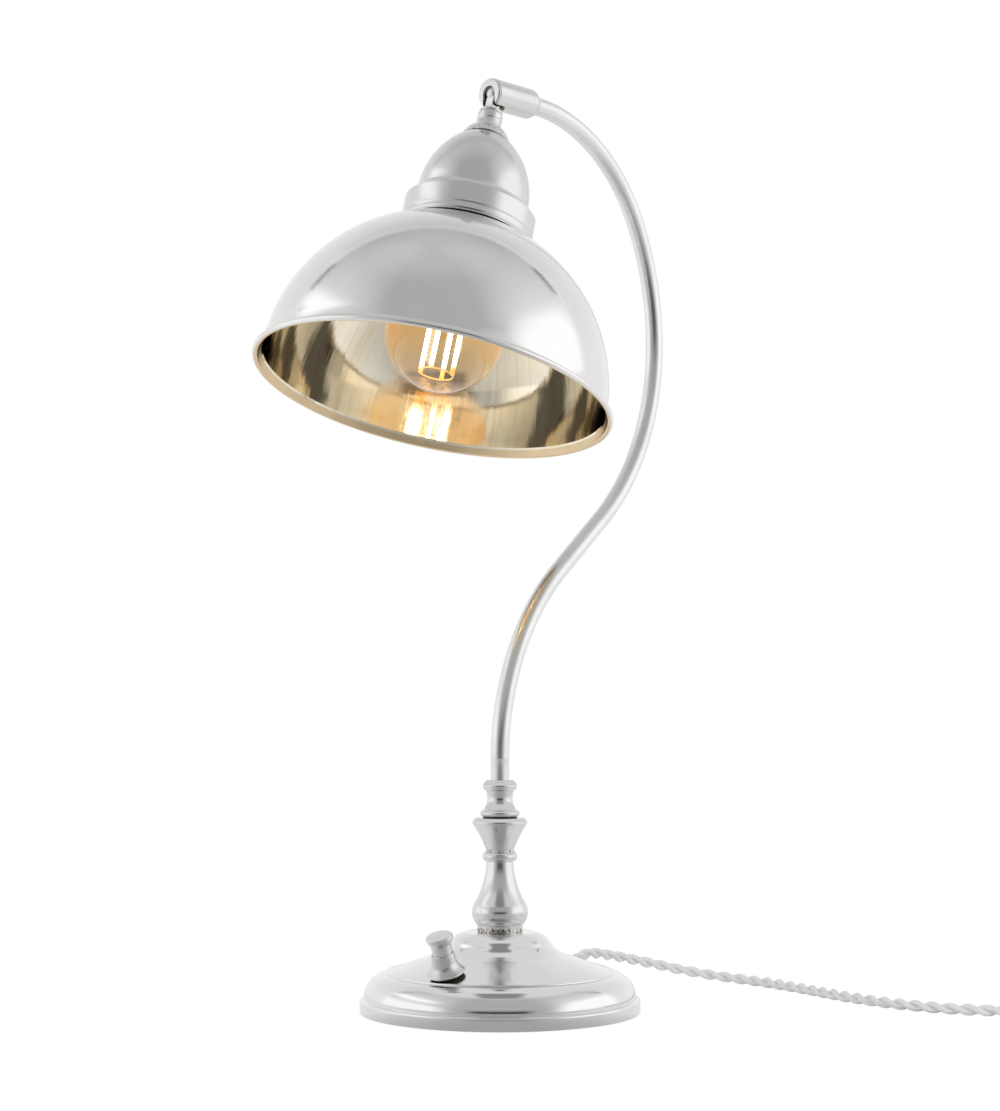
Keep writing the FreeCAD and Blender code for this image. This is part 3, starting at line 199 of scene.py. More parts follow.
cord_diameter = 0.0062
core_diameter = 0.0032
twist_pitch = 0.0195
core_closeness = 0.93
cord_exit = (-0.01527, 0.07642, 0.0184)
cord_route = [
    cord_exit,
    (-0.01557, 0.07796, 0.01932),
    (-0.01796, 0.09332, 0.0223),
    (-0.01788, 0.11596, 0.0183),
    (-0.01212, 0.1391, 0.013),
    (-0.00007, 0.15991, 0.0072),
    (0.01738, 0.17345, 0.004),
    (0.04297, 0.1768, 0.0031),
    (0.07806, 0.1685, 0.0031),
    (0.11442, 0.15591, 0.0031),
    (0.15384, 0.15029, 0.0031),
    (0.19157, 0.15675, 0.0031),
    (0.22345, 0.17828, 0.0031),
]
coil_middle = (0.2276, 0.2369)
coil_turns = 6.075
coil_points = 8
coil_bearing = -47.0
lower_radius = 0.042
upper_radius = 0.0236
turn_gap = 0.006
lower_turns = 3.0
climbing_turns = 0.5
lying = cord_diameter / 2
corner_cut = 0.925
for step in range(int(coil_turns * coil_points) + 1):
    turn = step / coil_points
    if turn <= lower_turns:
        ring = lower_radius - turn_gap * turn
        lift = lying
    elif turn < lower_turns + climbing_turns:
        ring = lower_radius - turn_gap * lower_turns
        lift = lying + turn_gap * (turn - lower_turns) / climbing_turns
    else:
        ring = upper_radius + turn_gap * (turn - lower_turns - climbing_turns)
        lift = lying + turn_gap
    bearing = math.radians(coil_bearing + 360.0 * turn)
    outward = ring / corner_cut
    cord_route.append((
        coil_middle[0] + outward * math.cos(bearing),
        coil_middle[1] + outward * math.sin(bearing),
        lift,
    ))
cord_route += [
    (0.2643, 0.2235, 0.0091),
    (0.2714, 0.2386, 0.00705),
    (0.2743, 0.2546, 0.00705),
]

route_curve = bpy.data.curves.new("cord_route", "CURVE")
route_curve.dimensions = "3D"
route_line = route_curve.splines.new("NURBS")
route_line.points.add(len(cord_route) - 1)
for point, place in zip(route_line.points, cord_route):
    point.co = (*place, 1.0)
route_line.order_u = 3
route_line.use_endpoint_u = True
route_curve.resolution_u = 12
route_object = linked("cord_route", route_curve)
bpy.context.view_layer.update()
route_mesh = bpy.data.meshes.new_from_object(
    route_object.evaluated_get(bpy.context.evaluated_depsgraph_get()))
cord_line = [vertex.co.copy() for vertex in route_mesh.vertices]

textile, textile_shader, nodes = new_material("cord_textile", {"Roughness": 0.62, "Sheen Weight": 0.25})
along = nodes.add("ShaderNodeAttribute", {"attribute_name": "along"}, output="Fac")
around = nodes.add("ShaderNodeAttribute", {"attribute_name": "around"}, output="Fac")
braid_along = 2600.0
braid_around = math.tau * 4
left_threads = (along * braid_along + around * braid_around).sine()
right_threads = (along * braid_along - around * braid_around).sine()
weave = (left_threads * right_threads) * 0.5 + 0.5
fuzz = nodes.noise(nodes.place(), 900.0, 3.0)
# The braid is darker in the weave's hollows, a painted shade between the threads, and its tone also varies
# at random with the fuzz.
weave_shade_and_fuzz = (weave * 0.55 + fuzz * 0.55).held()
feed(nodes, textile_shader, "Base Color",
     nodes.blend(weave_shade_and_fuzz, (0.66, 0.66, 0.65, 1.0), (0.90, 0.90, 0.89, 1.0)))
feed(nodes, textile_shader, "Normal", nodes.bump(0.5, 0.0003, weave))

twist = new_tree("twisted_cores", [
    ("Core radius", "Float"), ("Pitch", "Float"), ("Step", "Float"), ("Material", "Material")])
given = twist.add("NodeGroupInput", output="Geometry")
line = twist.add("GeometryNodeMeshToCurve", sockets={"Mesh": given})
line = twist.add("GeometryNodeResampleCurve", {"mode": "LENGTH"},
                 {"Curve": line, "Length": given.output("Step")})
line = twist.add("GeometryNodeSetCurveNormal", {"mode": "MINIMUM_TWIST"}, {"Curve": line})
distance = twist.add("GeometryNodeSplineParameter", output="Length")
line = twist.add("GeometryNodeStoreNamedAttribute", {"data_type": "FLOAT", "domain": "POINT"},
                 {"Geometry": line, "Name": "along", "Value": distance})
section = twist.add("GeometryNodeCurvePrimitiveCircle",
                    sockets={"Resolution": 12, "Radius": given.output("Core radius")})
section = twist.add("GeometryNodeStoreNamedAttribute", {"data_type": "FLOAT", "domain": "POINT"},
                    {"Geometry": section, "Name": "around",
                     "Value": twist.add("GeometryNodeSplineParameter", output="Factor")})
cores = twist.add("GeometryNodeJoinGeometry")
for start in (0.0, math.pi):
    angle = distance * math.tau / given.output("Pitch") + start
    aside = twist.add("ShaderNodeVectorRotate", {"rotation_type": "AXIS_ANGLE"}, {
        "Vector": twist.add("GeometryNodeInputNormal"),
        "Axis": twist.add("GeometryNodeInputTangent"),
        "Angle": angle,
    })
    aside = twist.add("ShaderNodeVectorMath", {"operation": "SCALE"},
                      {0: aside, "Scale": given.output("Core radius") * core_closeness})
    core = twist.add("GeometryNodeSetPosition", sockets={"Geometry": line, "Offset": aside})
    core = twist.add("GeometryNodeCurveToMesh",
                     sockets={"Curve": core, "Profile Curve": section, "Fill Caps": True})
    twist.tree.links.new(core.socket, cores.socket.node.inputs["Geometry"])
smooth = twist.add("GeometryNodeSetShadeSmooth", sockets={"Geometry": cores})
solid = twist.add("GeometryNodeRealizeInstances", sockets={"Geometry": smooth})
dressed = twist.add("GeometryNodeSetMaterial",
                    sockets={"Geometry": solid, "Material": given.output("Material")})
twist.add("NodeGroupOutput", sockets={"Geometry": dressed})

line_mesh = bpy.data.meshes.new("cord_line")
line_mesh.from_pydata(cord_line, [(i, i + 1) for i in range(len(cord_line) - 1)], [])
line_object = linked("cord_line", line_mesh)
cord = grown("cord_twisted", line_object, twist, {
    "Core radius": core_diameter / 2, "Pitch": twist_pitch, "Step": 0.0016, "Material": textile})
bpy.data.objects.remove(route_object)
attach(cord, "base")
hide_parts("cord", "cord_coil", "cord_tail")


# ---------------------------------------------------------------------------
# Foot: spun sheet metal with a straight band, a rolled shoulder, a crease and
# a small crown, nickel plated and polished.
def traced(corners):
    """The outline as points: (out, up) corners, with arcs where a corner has a bend radius."""
    points = []
    for before, corner in zip([corners[-1], *corners[:-1]], corners):
        end = Vector(corner[:2])
        if len(corner) == 3:
            start, bend = Vector(before[:2]), corner[2]
            chord = end - start
            left = Vector((-chord.y, chord.x)).normalized()
            side = 1 if bend > 0 else -1
            inward = math.sqrt(max(bend * bend - chord.length_squared / 4, 0))
            centre = start + chord / 2 + left * side * inward
            sweep = 2 * math.asin(min(1, chord.length / 2 / abs(bend))) * side
            steps = max(3, math.ceil(abs(sweep) / math.radians(3.0)))
            first = start - centre
            for step in range(1, steps):
                turn = sweep * step / steps
                points.append(centre + Matrix.Rotation(turn, 2) @ first)
        points.append(end)
    return points


def softened(points, fillet):
    """The same closed outline with its sharp corners rounded off."""
    result = []
    count = len(points)
    for index, corner in enumerate(points):
        before, after = points[index - 1], points[(index + 1) % count]
        arrive, leave = corner - before, after - corner
        if min(arrive.length, leave.length) < 1e-6:
            continue
        sharp = arrive.angle(leave) > math.radians(18)
        if not sharp or corner.x < 1e-6 or fillet <= 0:
            result.append(corner)
            continue
        reach_in = min(fillet, 0.4 * arrive.length)
        reach_out = min(fillet, 0.4 * leave.length)
        start = corner - arrive.normalized() * reach_in
        end = corner + leave.normalized() * reach_out
        for share in (0.0, 0.25, 0.5, 0.75, 1.0):
            result.append(start * (1 - share) ** 2 + corner * 2 * share * (1 - share) + end * share ** 2)
    return result


millimetres = Matrix.Scale(0.001, 4)
crease = math.radians(26)
blunt_crease = math.radians(40)


def built(name, shape, place=Matrix.Identity(4)):
    """A new object from a mesh under construction, moved to its place in the lamp."""
    mesh = bpy.data.meshes.new(name)
    shape.to_mesh(mesh)
    shape.free()
    mesh.transform(place)
    return linked(name, mesh)


def lathe(name, corners, material, place=Matrix.Identity(4), slices=96, fillet=0.25):
    """Turn an outline given in millimetres round the piece's own axis, at its place in the lamp."""
    outline = softened(traced(corners), fillet)
    lengths = [0.0]
    for a, b in zip(outline, [*outline[1:], outline[0]]):
        lengths.append(lengths[-1] + (b - a).length)
    shape = bmesh.new()
    coordinates = shape.loops.layers.uv.new("turning")
    rings = []
    for point in outline:
        if point.x < 1e-6:
            rings.append([shape.verts.new((0, 0, point.y))] * slices)
        else:
            rings.append([
                shape.verts.new((point.x * math.cos(math.tau * k / slices),
                                 point.x * math.sin(math.tau * k / slices), point.y))
                for k in range(slices)
            ])
    for index, ring in enumerate(rings):
        upper = rings[(index + 1) % len(rings)]
        for k in range(slices):
            n = (k + 1) % slices
            corners_here = [(ring[k], k, 0), (ring[n], k + 1, 0), (upper[n], k + 1, 1), (upper[k], k, 1)]
            kept = []
            for corner in corners_here:
                if all(corner[0] is not other[0] for other in kept):
                    kept.append(corner)
            if len(kept) < 3:
                continue
            face = shape.faces.new([corner[0] for corner in kept])
            face.smooth = True
            for loop, corner in zip(face.loops, kept):
                loop[coordinates].uv = (corner[1] / slices, lengths[index + corner[2]] * 0.01)
    bmesh.ops.recalc_face_normals(shape, faces=shape.faces)
    piece = built(name, shape, place @ millimetres)
    piece.data.set_sharp_from_angle(angle=crease)
    piece.data.materials.append(material)
    return piece


# Every plated part is the same nickel. The darker colours given below to the switch, column, tube,
# knuckle, neck and bell are shaded copies of it: painted shade.
def nickel_plate(name, roughness, smudge, lines, flaws,
                 colour=(0.825, 0.82, 0.81), grime=(), worn_share=0.56):
    """Polished nickel with hand smudges, the fine rings left by the polishing wheel, flaws of the
    casting and, between the heights that grime gives, dirt in a groove that no wheel reaches."""
    material, shader, nodes = new_material(name, {"Metallic": 1.0})
    place = nodes.place()
    across = nodes.add("ShaderNodeTexCoord", output="UV")
    cloud = nodes.noise(place, 42.0, 5.0)
    stretch = nodes.add("ShaderNodeMapping", sockets={"Vector": across, "Scale": (2.0, 320.0, 1.0)})
    rings = nodes.noise(stretch, 6.0, 6.0)
    feed(nodes, shader, "Roughness", roughness + cloud.rising(0.35, 0.75) * smudge + rings * (lines * 0.2))
    grain = nodes.noise(place, 260.0, 4.0)
    cells = nodes.add("ShaderNodeTexVoronoi", sockets={"Vector": place, "Scale": 330.0}, output="Distance")
    patches = nodes.noise(place, 60.0, 2.0)
    pits = (1.0 - cells.rising(0.08, 0.2)) * patches.rising(worn_share, worn_share + 0.1) * flaws
    if grime:
        level = nodes.height()
        speckle = nodes.noise(place, 700.0, 3.0)
        for low, high, thin in grime:
            band = level.rising(low - 0.0004, low + 0.0002) * (1.0 - level.rising(high, high + 0.0012))
            pits = pits + band * speckle.rising(thin, thin + 0.18)
    worn = [value * 0.95 for value in colour]
    tint = nodes.blend(cloud.rising(0.3, 0.8), (*colour, 1.0), (*worn, 1.0))
    feed(nodes, shader, "Base Color", nodes.blend(pits.held(), tint, (0.16, 0.13, 0.09, 1.0)))
    feed(nodes, shader, "Normal", nodes.bump(0.14, 0.0002, rings * lines + grain * 0.25 - pits * 1.5))
    return material


foot_plate = nickel_plate("foot_nickel", roughness=0.065, smudge=0.04, lines=0.3, flaws=0.0)
foot = lathe("foot", [
    (5.05, 41.4),
    (18.8, 41.4),
    (26.45, 35.55, -10.6),
    (35.1, 29.27, 17.7),
    (57.2, 21.37),
    (61.75, 19.5),
    (71.6, 8.3, -11.4),
    (73.8, 5.0),
    (73.8, 0.4),
    (75.0, 0.4),
    (75.0, 6.2),
    (74.1, 7.4, 1.4),
    (72.8, 7.8),
    (72.8, 8.3),
    (62.0, 20.7, 12.6),
    (61.4, 20.95),
    (59.7, 21.64, 0.95),
    (57.6, 22.5),
    (35.5, 30.4),
    (27.3, 36.4, -16.5),
    (18.8, 42.6, 11.8),
    (5.05, 42.6),
], foot_plate, slices=192, fillet=0.3)
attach(foot, "base")
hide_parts("foot_shell")

# ---------------------------------------------------------------------------
# Underside and filling: wool felt glued to a steel plate, which is screwed to
# the cast-iron weight inside the foot. The plain steel, brass, porcelain and
# moulded pieces hidden in the lamp get their finish here too.
felt, felt_shader, nodes = new_material("felt", {"Roughness": 0.95})
felt_fibres = nodes.noise(nodes.place(), 700.0, 5.0)
feed(nodes, felt_shader, "Base Color",
     nodes.blend(felt_fibres, (0.02, 0.045, 0.03, 1.0), (0.05, 0.11, 0.075, 1.0)))
feed(nodes, felt_shader, "Normal", nodes.bump(0.8, 0.0004, felt_fibres))


def plain_metal(name, colour, roughness, metallic=1.0):
    """Bare metal, or with metallic at 0 a moulding, with a faint cloudiness."""
    material, shader, nodes = new_material(name, {"Metallic": metallic})
    cloud = nodes.noise(nodes.place(), 120.0, 4.0)
    dull = [value * 0.75 for value in colour]
    feed(nodes, shader, "Base Color", nodes.blend(cloud, (*dull, 1.0), (*colour, 1.0)))
    feed(nodes, shader, "Roughness", roughness * 0.8 + cloud * (roughness * 0.5))
    return material


def dress(material, *names):
    """Give CAD pieces that stay as they are their finish."""
    for name in names:
        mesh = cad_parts[name].data
        mesh.materials.clear()
        mesh.materials.append(material)


dress(felt, "felt_pad")
dress(plain_metal("cast_iron", (0.12, 0.115, 0.11), 0.7), "foot_weight")
steel = plain_metal("turned_steel", (0.58, 0.57, 0.56), 0.32)
dress(steel, "bottom_plate", "plate_screws", "column_tube", "tie_nut", "tie_washer", "switch_nut",
      "cord_clamp", "clamp_screws", "collar_stop_screw", "stem_collar", "head_nipple", "head_nut")
spring_steel = plain_metal("spring_steel", (0.36, 0.37, 0.4), 0.3)
dress(spring_steel, "seat_springs")
brass = plain_metal("turned_brass", (0.80, 0.60, 0.28), 0.25)
dress(brass, "swivel_spigot", "switch_terminals", "holder_contact", "holder_screw_shell")
dress(plain_metal("tarnished_brass", (0.30, 0.23, 0.12), 0.45), "ball_seat")
dress(plain_metal("lead_sheath", (0.82, 0.8, 0.76), 0.5, 0.0), "column_lead", "arm_lead")
black_moulding = plain_metal("black_moulding", (0.035, 0.03, 0.028), 0.25, 0.0)
dress(black_moulding, "switch_body", "holder_cap")
dress(plain_metal("steatite", (0.86, 0.85, 0.8), 0.2, 0.0), "terminal_block", "holder_core")

# ---------------------------------------------------------------------------
# Cord bush: a moulded rubber sleeve that snaps into the back of the foot, with
# two grooves that let its tail bend with the cord.
bush_bearing = math.radians(101.3)
bush_place = (Matrix.Translation((0.071 * math.cos(bush_bearing), 0.071 * math.sin(bush_bearing), 0.0144))
              @ Matrix.Rotation(math.radians(60.0), 4,
                                Vector((-math.sin(bush_bearing), math.cos(bush_bearing), 0))))
rubber = plain_metal("dark_rubber", (0.075, 0.065, 0.06), 0.5, 0.0)
bush = lathe("rubber_bush", [
    (3.1, -4.0),
    (4.0, -4.0),
    (4.0, 0.05),
    (5.2, 0.05),
    (4.9, 1.8, 2.4),
    (4.6, 2.6),
    (4.5, 4.0),
    (4.1, 4.2),
    (4.1, 4.6),
    (4.4, 4.8),
    (4.3, 5.9),
    (3.95, 6.1),
    (3.95, 6.5),
    (4.25, 6.7),
    (4.2, 7.7),
    (3.9, 8.0),
    (3.7, 8.0),
    (3.1, 2.0),
], rubber, bush_place, slices=64, fillet=0.15)
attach(bush, "base")
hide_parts("cord_bush")

# ---------------------------------------------------------------------------
# Switch: a flared bezel turned from brass and plated, standing square to the
# foot's slope, with a mushroom button that slides in it against a steel spring.
switch_lean = math.radians(19.67)
switch_bearing = math.radians(-78.7)
switch_place = (Matrix.Translation((0.0101892, -0.050992, 0.0245018))
                @ Matrix.Rotation(switch_lean, 4,
                                  Vector((-math.sin(switch_bearing), math.cos(switch_bearing), 0))))
# Painted shade: darker copies of the nickel for the button and the bezel.
turned_plate = nickel_plate("turned_nickel", roughness=0.09, smudge=0.08, lines=0.6, flaws=0.8,
                            colour=(0.76, 0.757, 0.75))
bezel_plate = nickel_plate("bezel_nickel", roughness=0.07, smudge=0.1, lines=1.0, flaws=2.0,
                           colour=(0.67, 0.667, 0.66), worn_share=0.44)
bezel = lathe("bezel", [
    (6.3, -7.0),
    (7.4, -7.0),
    (7.4, 0.05),
    (8.0, 0.05),
    (9.5, 1.7),
    (10.0, 2.2),
    (9.6, 2.8),
    (6.4, 9.0, -8.6),
    (6.0, 12.4),
    (5.8, 12.8),
    (5.35, 12.8),
    (5.35, 4.0),
    (6.3, 4.0),
], bezel_plate, switch_place)
# Painted shade: the faces under the flare, facing down into the narrow gap against the foot, get a
# near-black brass.
bezel.data.materials.append(plain_metal("bezel_underside_shade", (0.10, 0.09, 0.07), 0.6))
into_switch = switch_place.inverted()
skirt_edge = 0.0018
for face in bezel.data.polygons:
    if (into_switch @ face.center).z < skirt_edge and (into_switch.to_3x3() @ face.normal).z < -0.2:
        face.material_index = 1
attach(bezel, "base")
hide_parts("switch_bezel")

button = lathe("button", [
    (0.0, -7.05),
    (2.4, -7.05),
    (2.4, 2.35),
    (6.0, 2.35),
    (6.0, 3.95),
    (5.3, 3.95),
    (5.3, 17.6),
    (7.05, 20.5),
    (7.05, 22.0),
    (6.45, 22.6, 0.7),
    (0.0, 22.6),
], turned_plate, switch_place)
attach(button, "button")
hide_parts("switch_button")

spring_shape = bmesh.new()
spring_shape.from_mesh(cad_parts["switch_spring"].data)
bmesh.ops.remove_doubles(spring_shape, verts=spring_shape.verts, dist=0.000001)
for face in spring_shape.faces:
    face.smooth = True
spring = built("return_spring", spring_shape)
spring.data.set_sharp_from_angle(angle=blunt_crease)
spring.data.materials.append(spring_steel)
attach(spring, "base")
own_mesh(spring)
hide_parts("switch_spring")

# ---------------------------------------------------------------------------
# Column: vase, ring and cup are separate brass turnings, plated and clamped
# on one threaded tube; a dark washer lies under the turning arm.
# Painted shade: a darker copy of the nickel for the column and collar.
column_plate = nickel_plate("column_nickel", roughness=0.09, smudge=0.07, lines=0.45, flaws=1.2,
                            colour=(0.735, 0.732, 0.726),
                            grime=[(0.0427, 0.0445, 0.42), (0.0852, 0.0858, 0.5), (0.1002, 0.1008, 0.6)])
vase = lathe("vase", [
    (5.05, 42.6),
    (12.2, 42.6),
    (12.2, 46.0),
    (13.9, 57.5, 9.7),
    (7.3, 80.2, -47.0),
    (5.05, 80.2),
], column_plate)
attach(vase, "base")
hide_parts("column_vase")

ring = lathe("ring", [
    (5.05, 80.2),
    (8.2, 80.2),
    (8.2, 85.0, 3.0),
    (5.05, 85.0),
], column_plate)
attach(ring, "base")
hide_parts("column_ring")

cup = lathe("cup", [
    (5.05, 85.0),
    (8.0, 85.0),
    (7.6, 86.2),
    (14.2, 99.2, -61.0),
    (14.9, 100.4),
    (14.9, 101.4),
    (13.4, 103.2),
    (7.0, 103.2),
    (7.0, 94.0),
    (5.05, 94.0),
], column_plate)
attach(cup, "base")
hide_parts("column_cup")
dress(plain_metal("dark_nylon", (0.05, 0.045, 0.04), 0.5, 0.0), "swivel_washer")

# ---------------------------------------------------------------------------
# Arm: a turned collar that runs on the column's spigot, and a drawn tube bent
# to a swan neck and brazed into it, dull polished.
collar = lathe("collar", [
    (5.51, 104.05),
    (9.8, 104.05),
    (9.6, 107.25, 1.8),
    (8.8, 107.45),
    (8.4, 108.55),
    (7.6, 117.55, -9.5),
    (7.9, 117.85),
    (7.9, 122.55, 2.7),
    (7.4, 123.4),
    (5.02, 123.4),
    (5.02, 117.05),
    (3.2, 117.05),
    (3.2, 116.05),
    (5.51, 116.05),
], column_plate)
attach(collar, "arm")
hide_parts("arm_collar")

# Painted shade: a slightly darker copy of the nickel for the tube.
tube_plate = nickel_plate("tube_nickel", roughness=0.24, smudge=0.1, lines=0.0, flaws=0.0,
                          colour=(0.79, 0.787, 0.78))
bends = [(-137.05, 49.57), (0.0, 47.6), (139.1, 49.57), (148.4, 28.25), (98.24, 61.75)]
arm_points = [Vector((0.0, 0.0, height)) for height in (117.1, 122.0, 128.0, 134.0)]
socket_out = 18.3
heading = 0.0
for radius, sweep in bends:  # a bend's radius and degrees, or 0 and a straight length
    steps = 16 if radius == 0.0 else max(2, round(sweep / 1.5))
    for _ in range(steps):
        if radius == 0.0:
            stride = sweep / steps
        else:
            turn = math.radians(sweep / steps) * (1 if radius > 0 else -1)
            heading += turn / 2
            stride = 2 * abs(radius) * math.sin(abs(turn) / 2)
        arm_points.append(arm_points[-1] + Vector((0.0, -math.sin(heading), math.cos(heading))) * stride)
        if radius != 0.0:
            heading += turn / 2
arm_points.append(Vector((0.0, socket_out, arm_points[-1].z)))
arm_mesh = bpy.data.meshes.new("arm_line")
arm_mesh.from_pydata([point * 0.001 for point in arm_points],
                     [(i, i + 1) for i in range(len(arm_points) - 1)], [])
arm_line = linked("arm_line", arm_mesh)

bar = new_tree("bent_tube", [("Radius", "Float"), ("Sides", "Int"), ("Material", "Material")])
given = bar.add("NodeGroupInput", output="Geometry")
path = bar.add("GeometryNodeMeshToCurve", sockets={"Mesh": given})
path = bar.add("GeometryNodeSetCurveNormal", {"mode": "MINIMUM_TWIST"}, {"Curve": path})
section = bar.add("GeometryNodeCurvePrimitiveCircle",
                  sockets={"Resolution": given.output("Sides"), "Radius": given.output("Radius")})
swept = bar.add("GeometryNodeCurveToMesh",
                sockets={"Curve": path, "Profile Curve": section, "Fill Caps": True})
swept = bar.add("GeometryNodeSetShadeSmooth", sockets={"Geometry": swept})
swept = bar.add("GeometryNodeRealizeInstances", sockets={"Geometry": swept})
swept = bar.add("GeometryNodeSetMaterial",
                sockets={"Geometry": swept, "Material": given.output("Material")})
bar.add("NodeGroupOutput", sockets={"Geometry": swept})
tube = grown("swan_neck", arm_line, bar, {"Radius": 0.005, "Sides": 48, "Material": tube_plate})
tube.data.set_sharp_from_angle(angle=blunt_crease)
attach(tube, "arm")
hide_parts("arm_tube")

# ---------------------------------------------------------------------------
# Knuckle: a barrel on the arm's end, its flat nose sawn with a slot in which the
# plated ball and its stem nod; a thin ring locks the stem to the head's neck.
ball_centre = Matrix.Translation((0.0, -0.00402, 0.497056))
head_lean = math.radians(-16)
knuckle_place = ball_centre @ Matrix.Rotation(math.radians(90), 4, "X")
head_place = ball_centre @ Matrix.Rotation(head_lean, 4, "X")
# Painted shade: a darker copy of the nickel for the knuckle.
knuckle_plate = nickel_plate("knuckle_nickel", roughness=0.17, smudge=0.08, lines=0.5, flaws=0.3,
                             colour=(0.715, 0.712, 0.705))
barrel = lathe("barrel", [
    (0.0, 3.1),
    (6.88, 3.1),
    (6.88, -22.0),
    (5.03, -22.0),
    (5.03, -31.5),
    (6.0, -31.5),
    (8.2, -27.0, -5.6),
    (8.2, 3.2),
    (7.95, 3.45),
    (8.15, 3.7),
    (7.1, 4.9, 1.2),
    (0.0, 5.2),
], knuckle_plate, fillet=0.12)
half_slot = 4.4
slot_length = 14.0
slot_drop = 0.5
slot_back = 2.0
slot_round = 3.5
slot_outline = [(-half_slot, -slot_length), (half_slot, -slot_length)]
for step in range(17):
    angle = math.pi * step / 16
    slot_outline.append((half_slot * math.cos(angle), half_slot * math.sin(angle) - slot_drop))
slot_steps = [(slot_length, 1.0)]
for step in range(9):
    angle = math.pi / 2 * step / 8
    slot_steps.append((-slot_back - slot_round * math.sin(angle), max(math.cos(angle), 0.02)))
slot_shape = bmesh.new()
rows = [[slot_shape.verts.new((x * width, y, depth)) for x, y in slot_outline]
        for depth, width in slot_steps]
for near, far in zip(rows, rows[1:]):
    for k in range(len(near)):
        n = (k + 1) % len(near)
        slot_shape.faces.new((near[k], near[n], far[n], far[k]))
slot_shape.faces.new(rows[0])
slot_shape.faces.new(rows[-1])
bmesh.ops.recalc_face_normals(slot_shape, faces=slot_shape.faces)


def machined(piece, operation, *tools):
    """Cut other forms out of a piece, or join them to it, and use them up."""
    for tool in tools:
        work = piece.modifiers.new("work", "BOOLEAN")
        work.object = tool
        work.operation = operation
        work.solver = "EXACT"
    piece.data = bpy.data.meshes.new_from_object(
        piece.evaluated_get(bpy.context.evaluated_depsgraph_get()))
    piece.modifiers.clear()
    for tool in tools:
        bpy.data.objects.remove(tool)


machined(barrel, "DIFFERENCE", built("slot_cutter", slot_shape, millimetres))
barrel.data.transform(knuckle_place)
barrel.data.set_sharp_from_angle(angle=crease)
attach(barrel, "arm")
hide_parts("joint_housing")

stem = lathe("ball_and_stem", [
    (0.0, -9.0),
    (2.9, -9.0),
    (2.9, -19.0),
    (0.0, -19.0),
], knuckle_plate, head_place, slices=64)
ball_radius = 4.8
ball = lathe("ball", [
    (0.0, -ball_radius),
    (0.0, ball_radius, ball_radius),
], knuckle_plate, head_place, slices=96)


def rounded(shape, edges, offset, segments):
    bmesh.ops.bevel(shape, geom=list(edges), offset=offset, segments=segments, affect="EDGES", profile=0.5)


blade_size = (5.7, 6.2, 10.2)
blade_shape = bmesh.new()
bmesh.ops.create_cube(blade_shape, size=1.0)
blade_shape.transform(head_place @ millimetres @ Matrix.Translation((0.0, 0.0, -blade_size[2] / 2))
                      @ Matrix.Diagonal((*blade_size, 1.0)))
rounded(blade_shape, blade_shape.edges, 0.0006, 3)
for face in blade_shape.faces:
    face.smooth = True
machined(stem, "UNION", built("blade", blade_shape), ball)
stem.data.set_sharp_from_angle(angle=crease)
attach(stem, "knuckle")
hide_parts("ball_stem")

lock = lathe("lock_disc", [
    (2.92, -11.8),
    (6.4, -11.8),
    (6.4, -10.6),
    (6.0, -10.2),
    (2.92, -10.2),
], knuckle_plate, head_place)
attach(lock, "knuckle")
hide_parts("lock_ring")

# ---------------------------------------------------------------------------
# Head: turned neck and the spun bell that hides the lampholder, both plated.
# Painted shade: a darker copy of the nickel for the neck.
neck_plate = nickel_plate("neck_nickel", roughness=0.14, smudge=0.08, lines=0.6, flaws=1.5,
                          colour=(0.75, 0.747, 0.74), grime=[(0.4735, 0.4764, 0.55)], worn_share=0.46)
neck = lathe("neck", [
    (2.95, -11.85),
    (2.95, -16.5),
    (4.6, -16.5),
    (4.6, -19.65),
    (5.05, -19.65),
    (5.05, -26.9),
    (12.3, -26.9),
    (12.75, -27.5),
    (13.1, -27.2),
    (12.8, -26.3),
    (10.0, -22.4, 16.0),
    (9.5, -21.9),
    (7.9, -21.6),
    (7.6, -21.1),
    (6.6, -16.6, -16.0),
    (6.9, -16.1),
    (6.9, -12.9),
    (6.5, -12.5),
    (6.5, -12.15),
    (6.2, -11.85),
], neck_plate, head_place)
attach(neck, "head")
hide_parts("head_neck")

spun_plate = nickel_plate("spun_nickel", roughness=0.03, smudge=0.035, lines=0.25, flaws=0.0)
# Painted shade: a darker copy of the nickel for the bell.
bell_plate = nickel_plate("bell_nickel", roughness=0.09, smudge=0.12, lines=0.5, flaws=0.0,
                          colour=(0.73, 0.728, 0.724))
bell = lathe("bell", [
    (5.05, -27.7),
    (11.2, -27.7),
    (29.6, -62.0, -44.2),
    (29.6, -65.1),
    (35.0, -71.1, 7.2),
    (35.0, -82.6),
    (33.7, -85.15),
    (34.4, -85.2),
    (35.4, -83.0, 1.8),
    (35.4, -80.8),
    (35.8, -80.4),
    (35.8, -70.3),
    (30.4, -64.6, -6.4),
    (30.4, -62.0),
    (12.4, -27.3, 45.0),
    (11.8, -26.9),
    (5.05, -26.9),
], bell_plate, head_place, slices=160, fillet=0.35)
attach(bell, "head")
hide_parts("bell_cover")

# ---------------------------------------------------------------------------
# Lampholder: black moulded sleeve with its flange, and the ring that screws on
# it from inside and holds the shade.
sleeve = lathe("holder_sleeve", [
    (17.3, -91.0),
    (19.5, -91.0),
    (19.5, -82.55),
    (22.5, -82.55),
    (22.5, -81.35),
    (19.5, -81.35),
    (19.5, -47.0),
    (17.3, -47.0),
], black_moulding, head_place)
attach(sleeve, "head")
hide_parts("holder_body")

fixing_ring = lathe("fixing_ring", [
    (19.55, -89.55),
    (23.0, -89.55),
    (23.0, -83.55),
    (19.55, -83.55),
], black_moulding, head_place)
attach(fixing_ring, "head")
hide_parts("shade_ring")

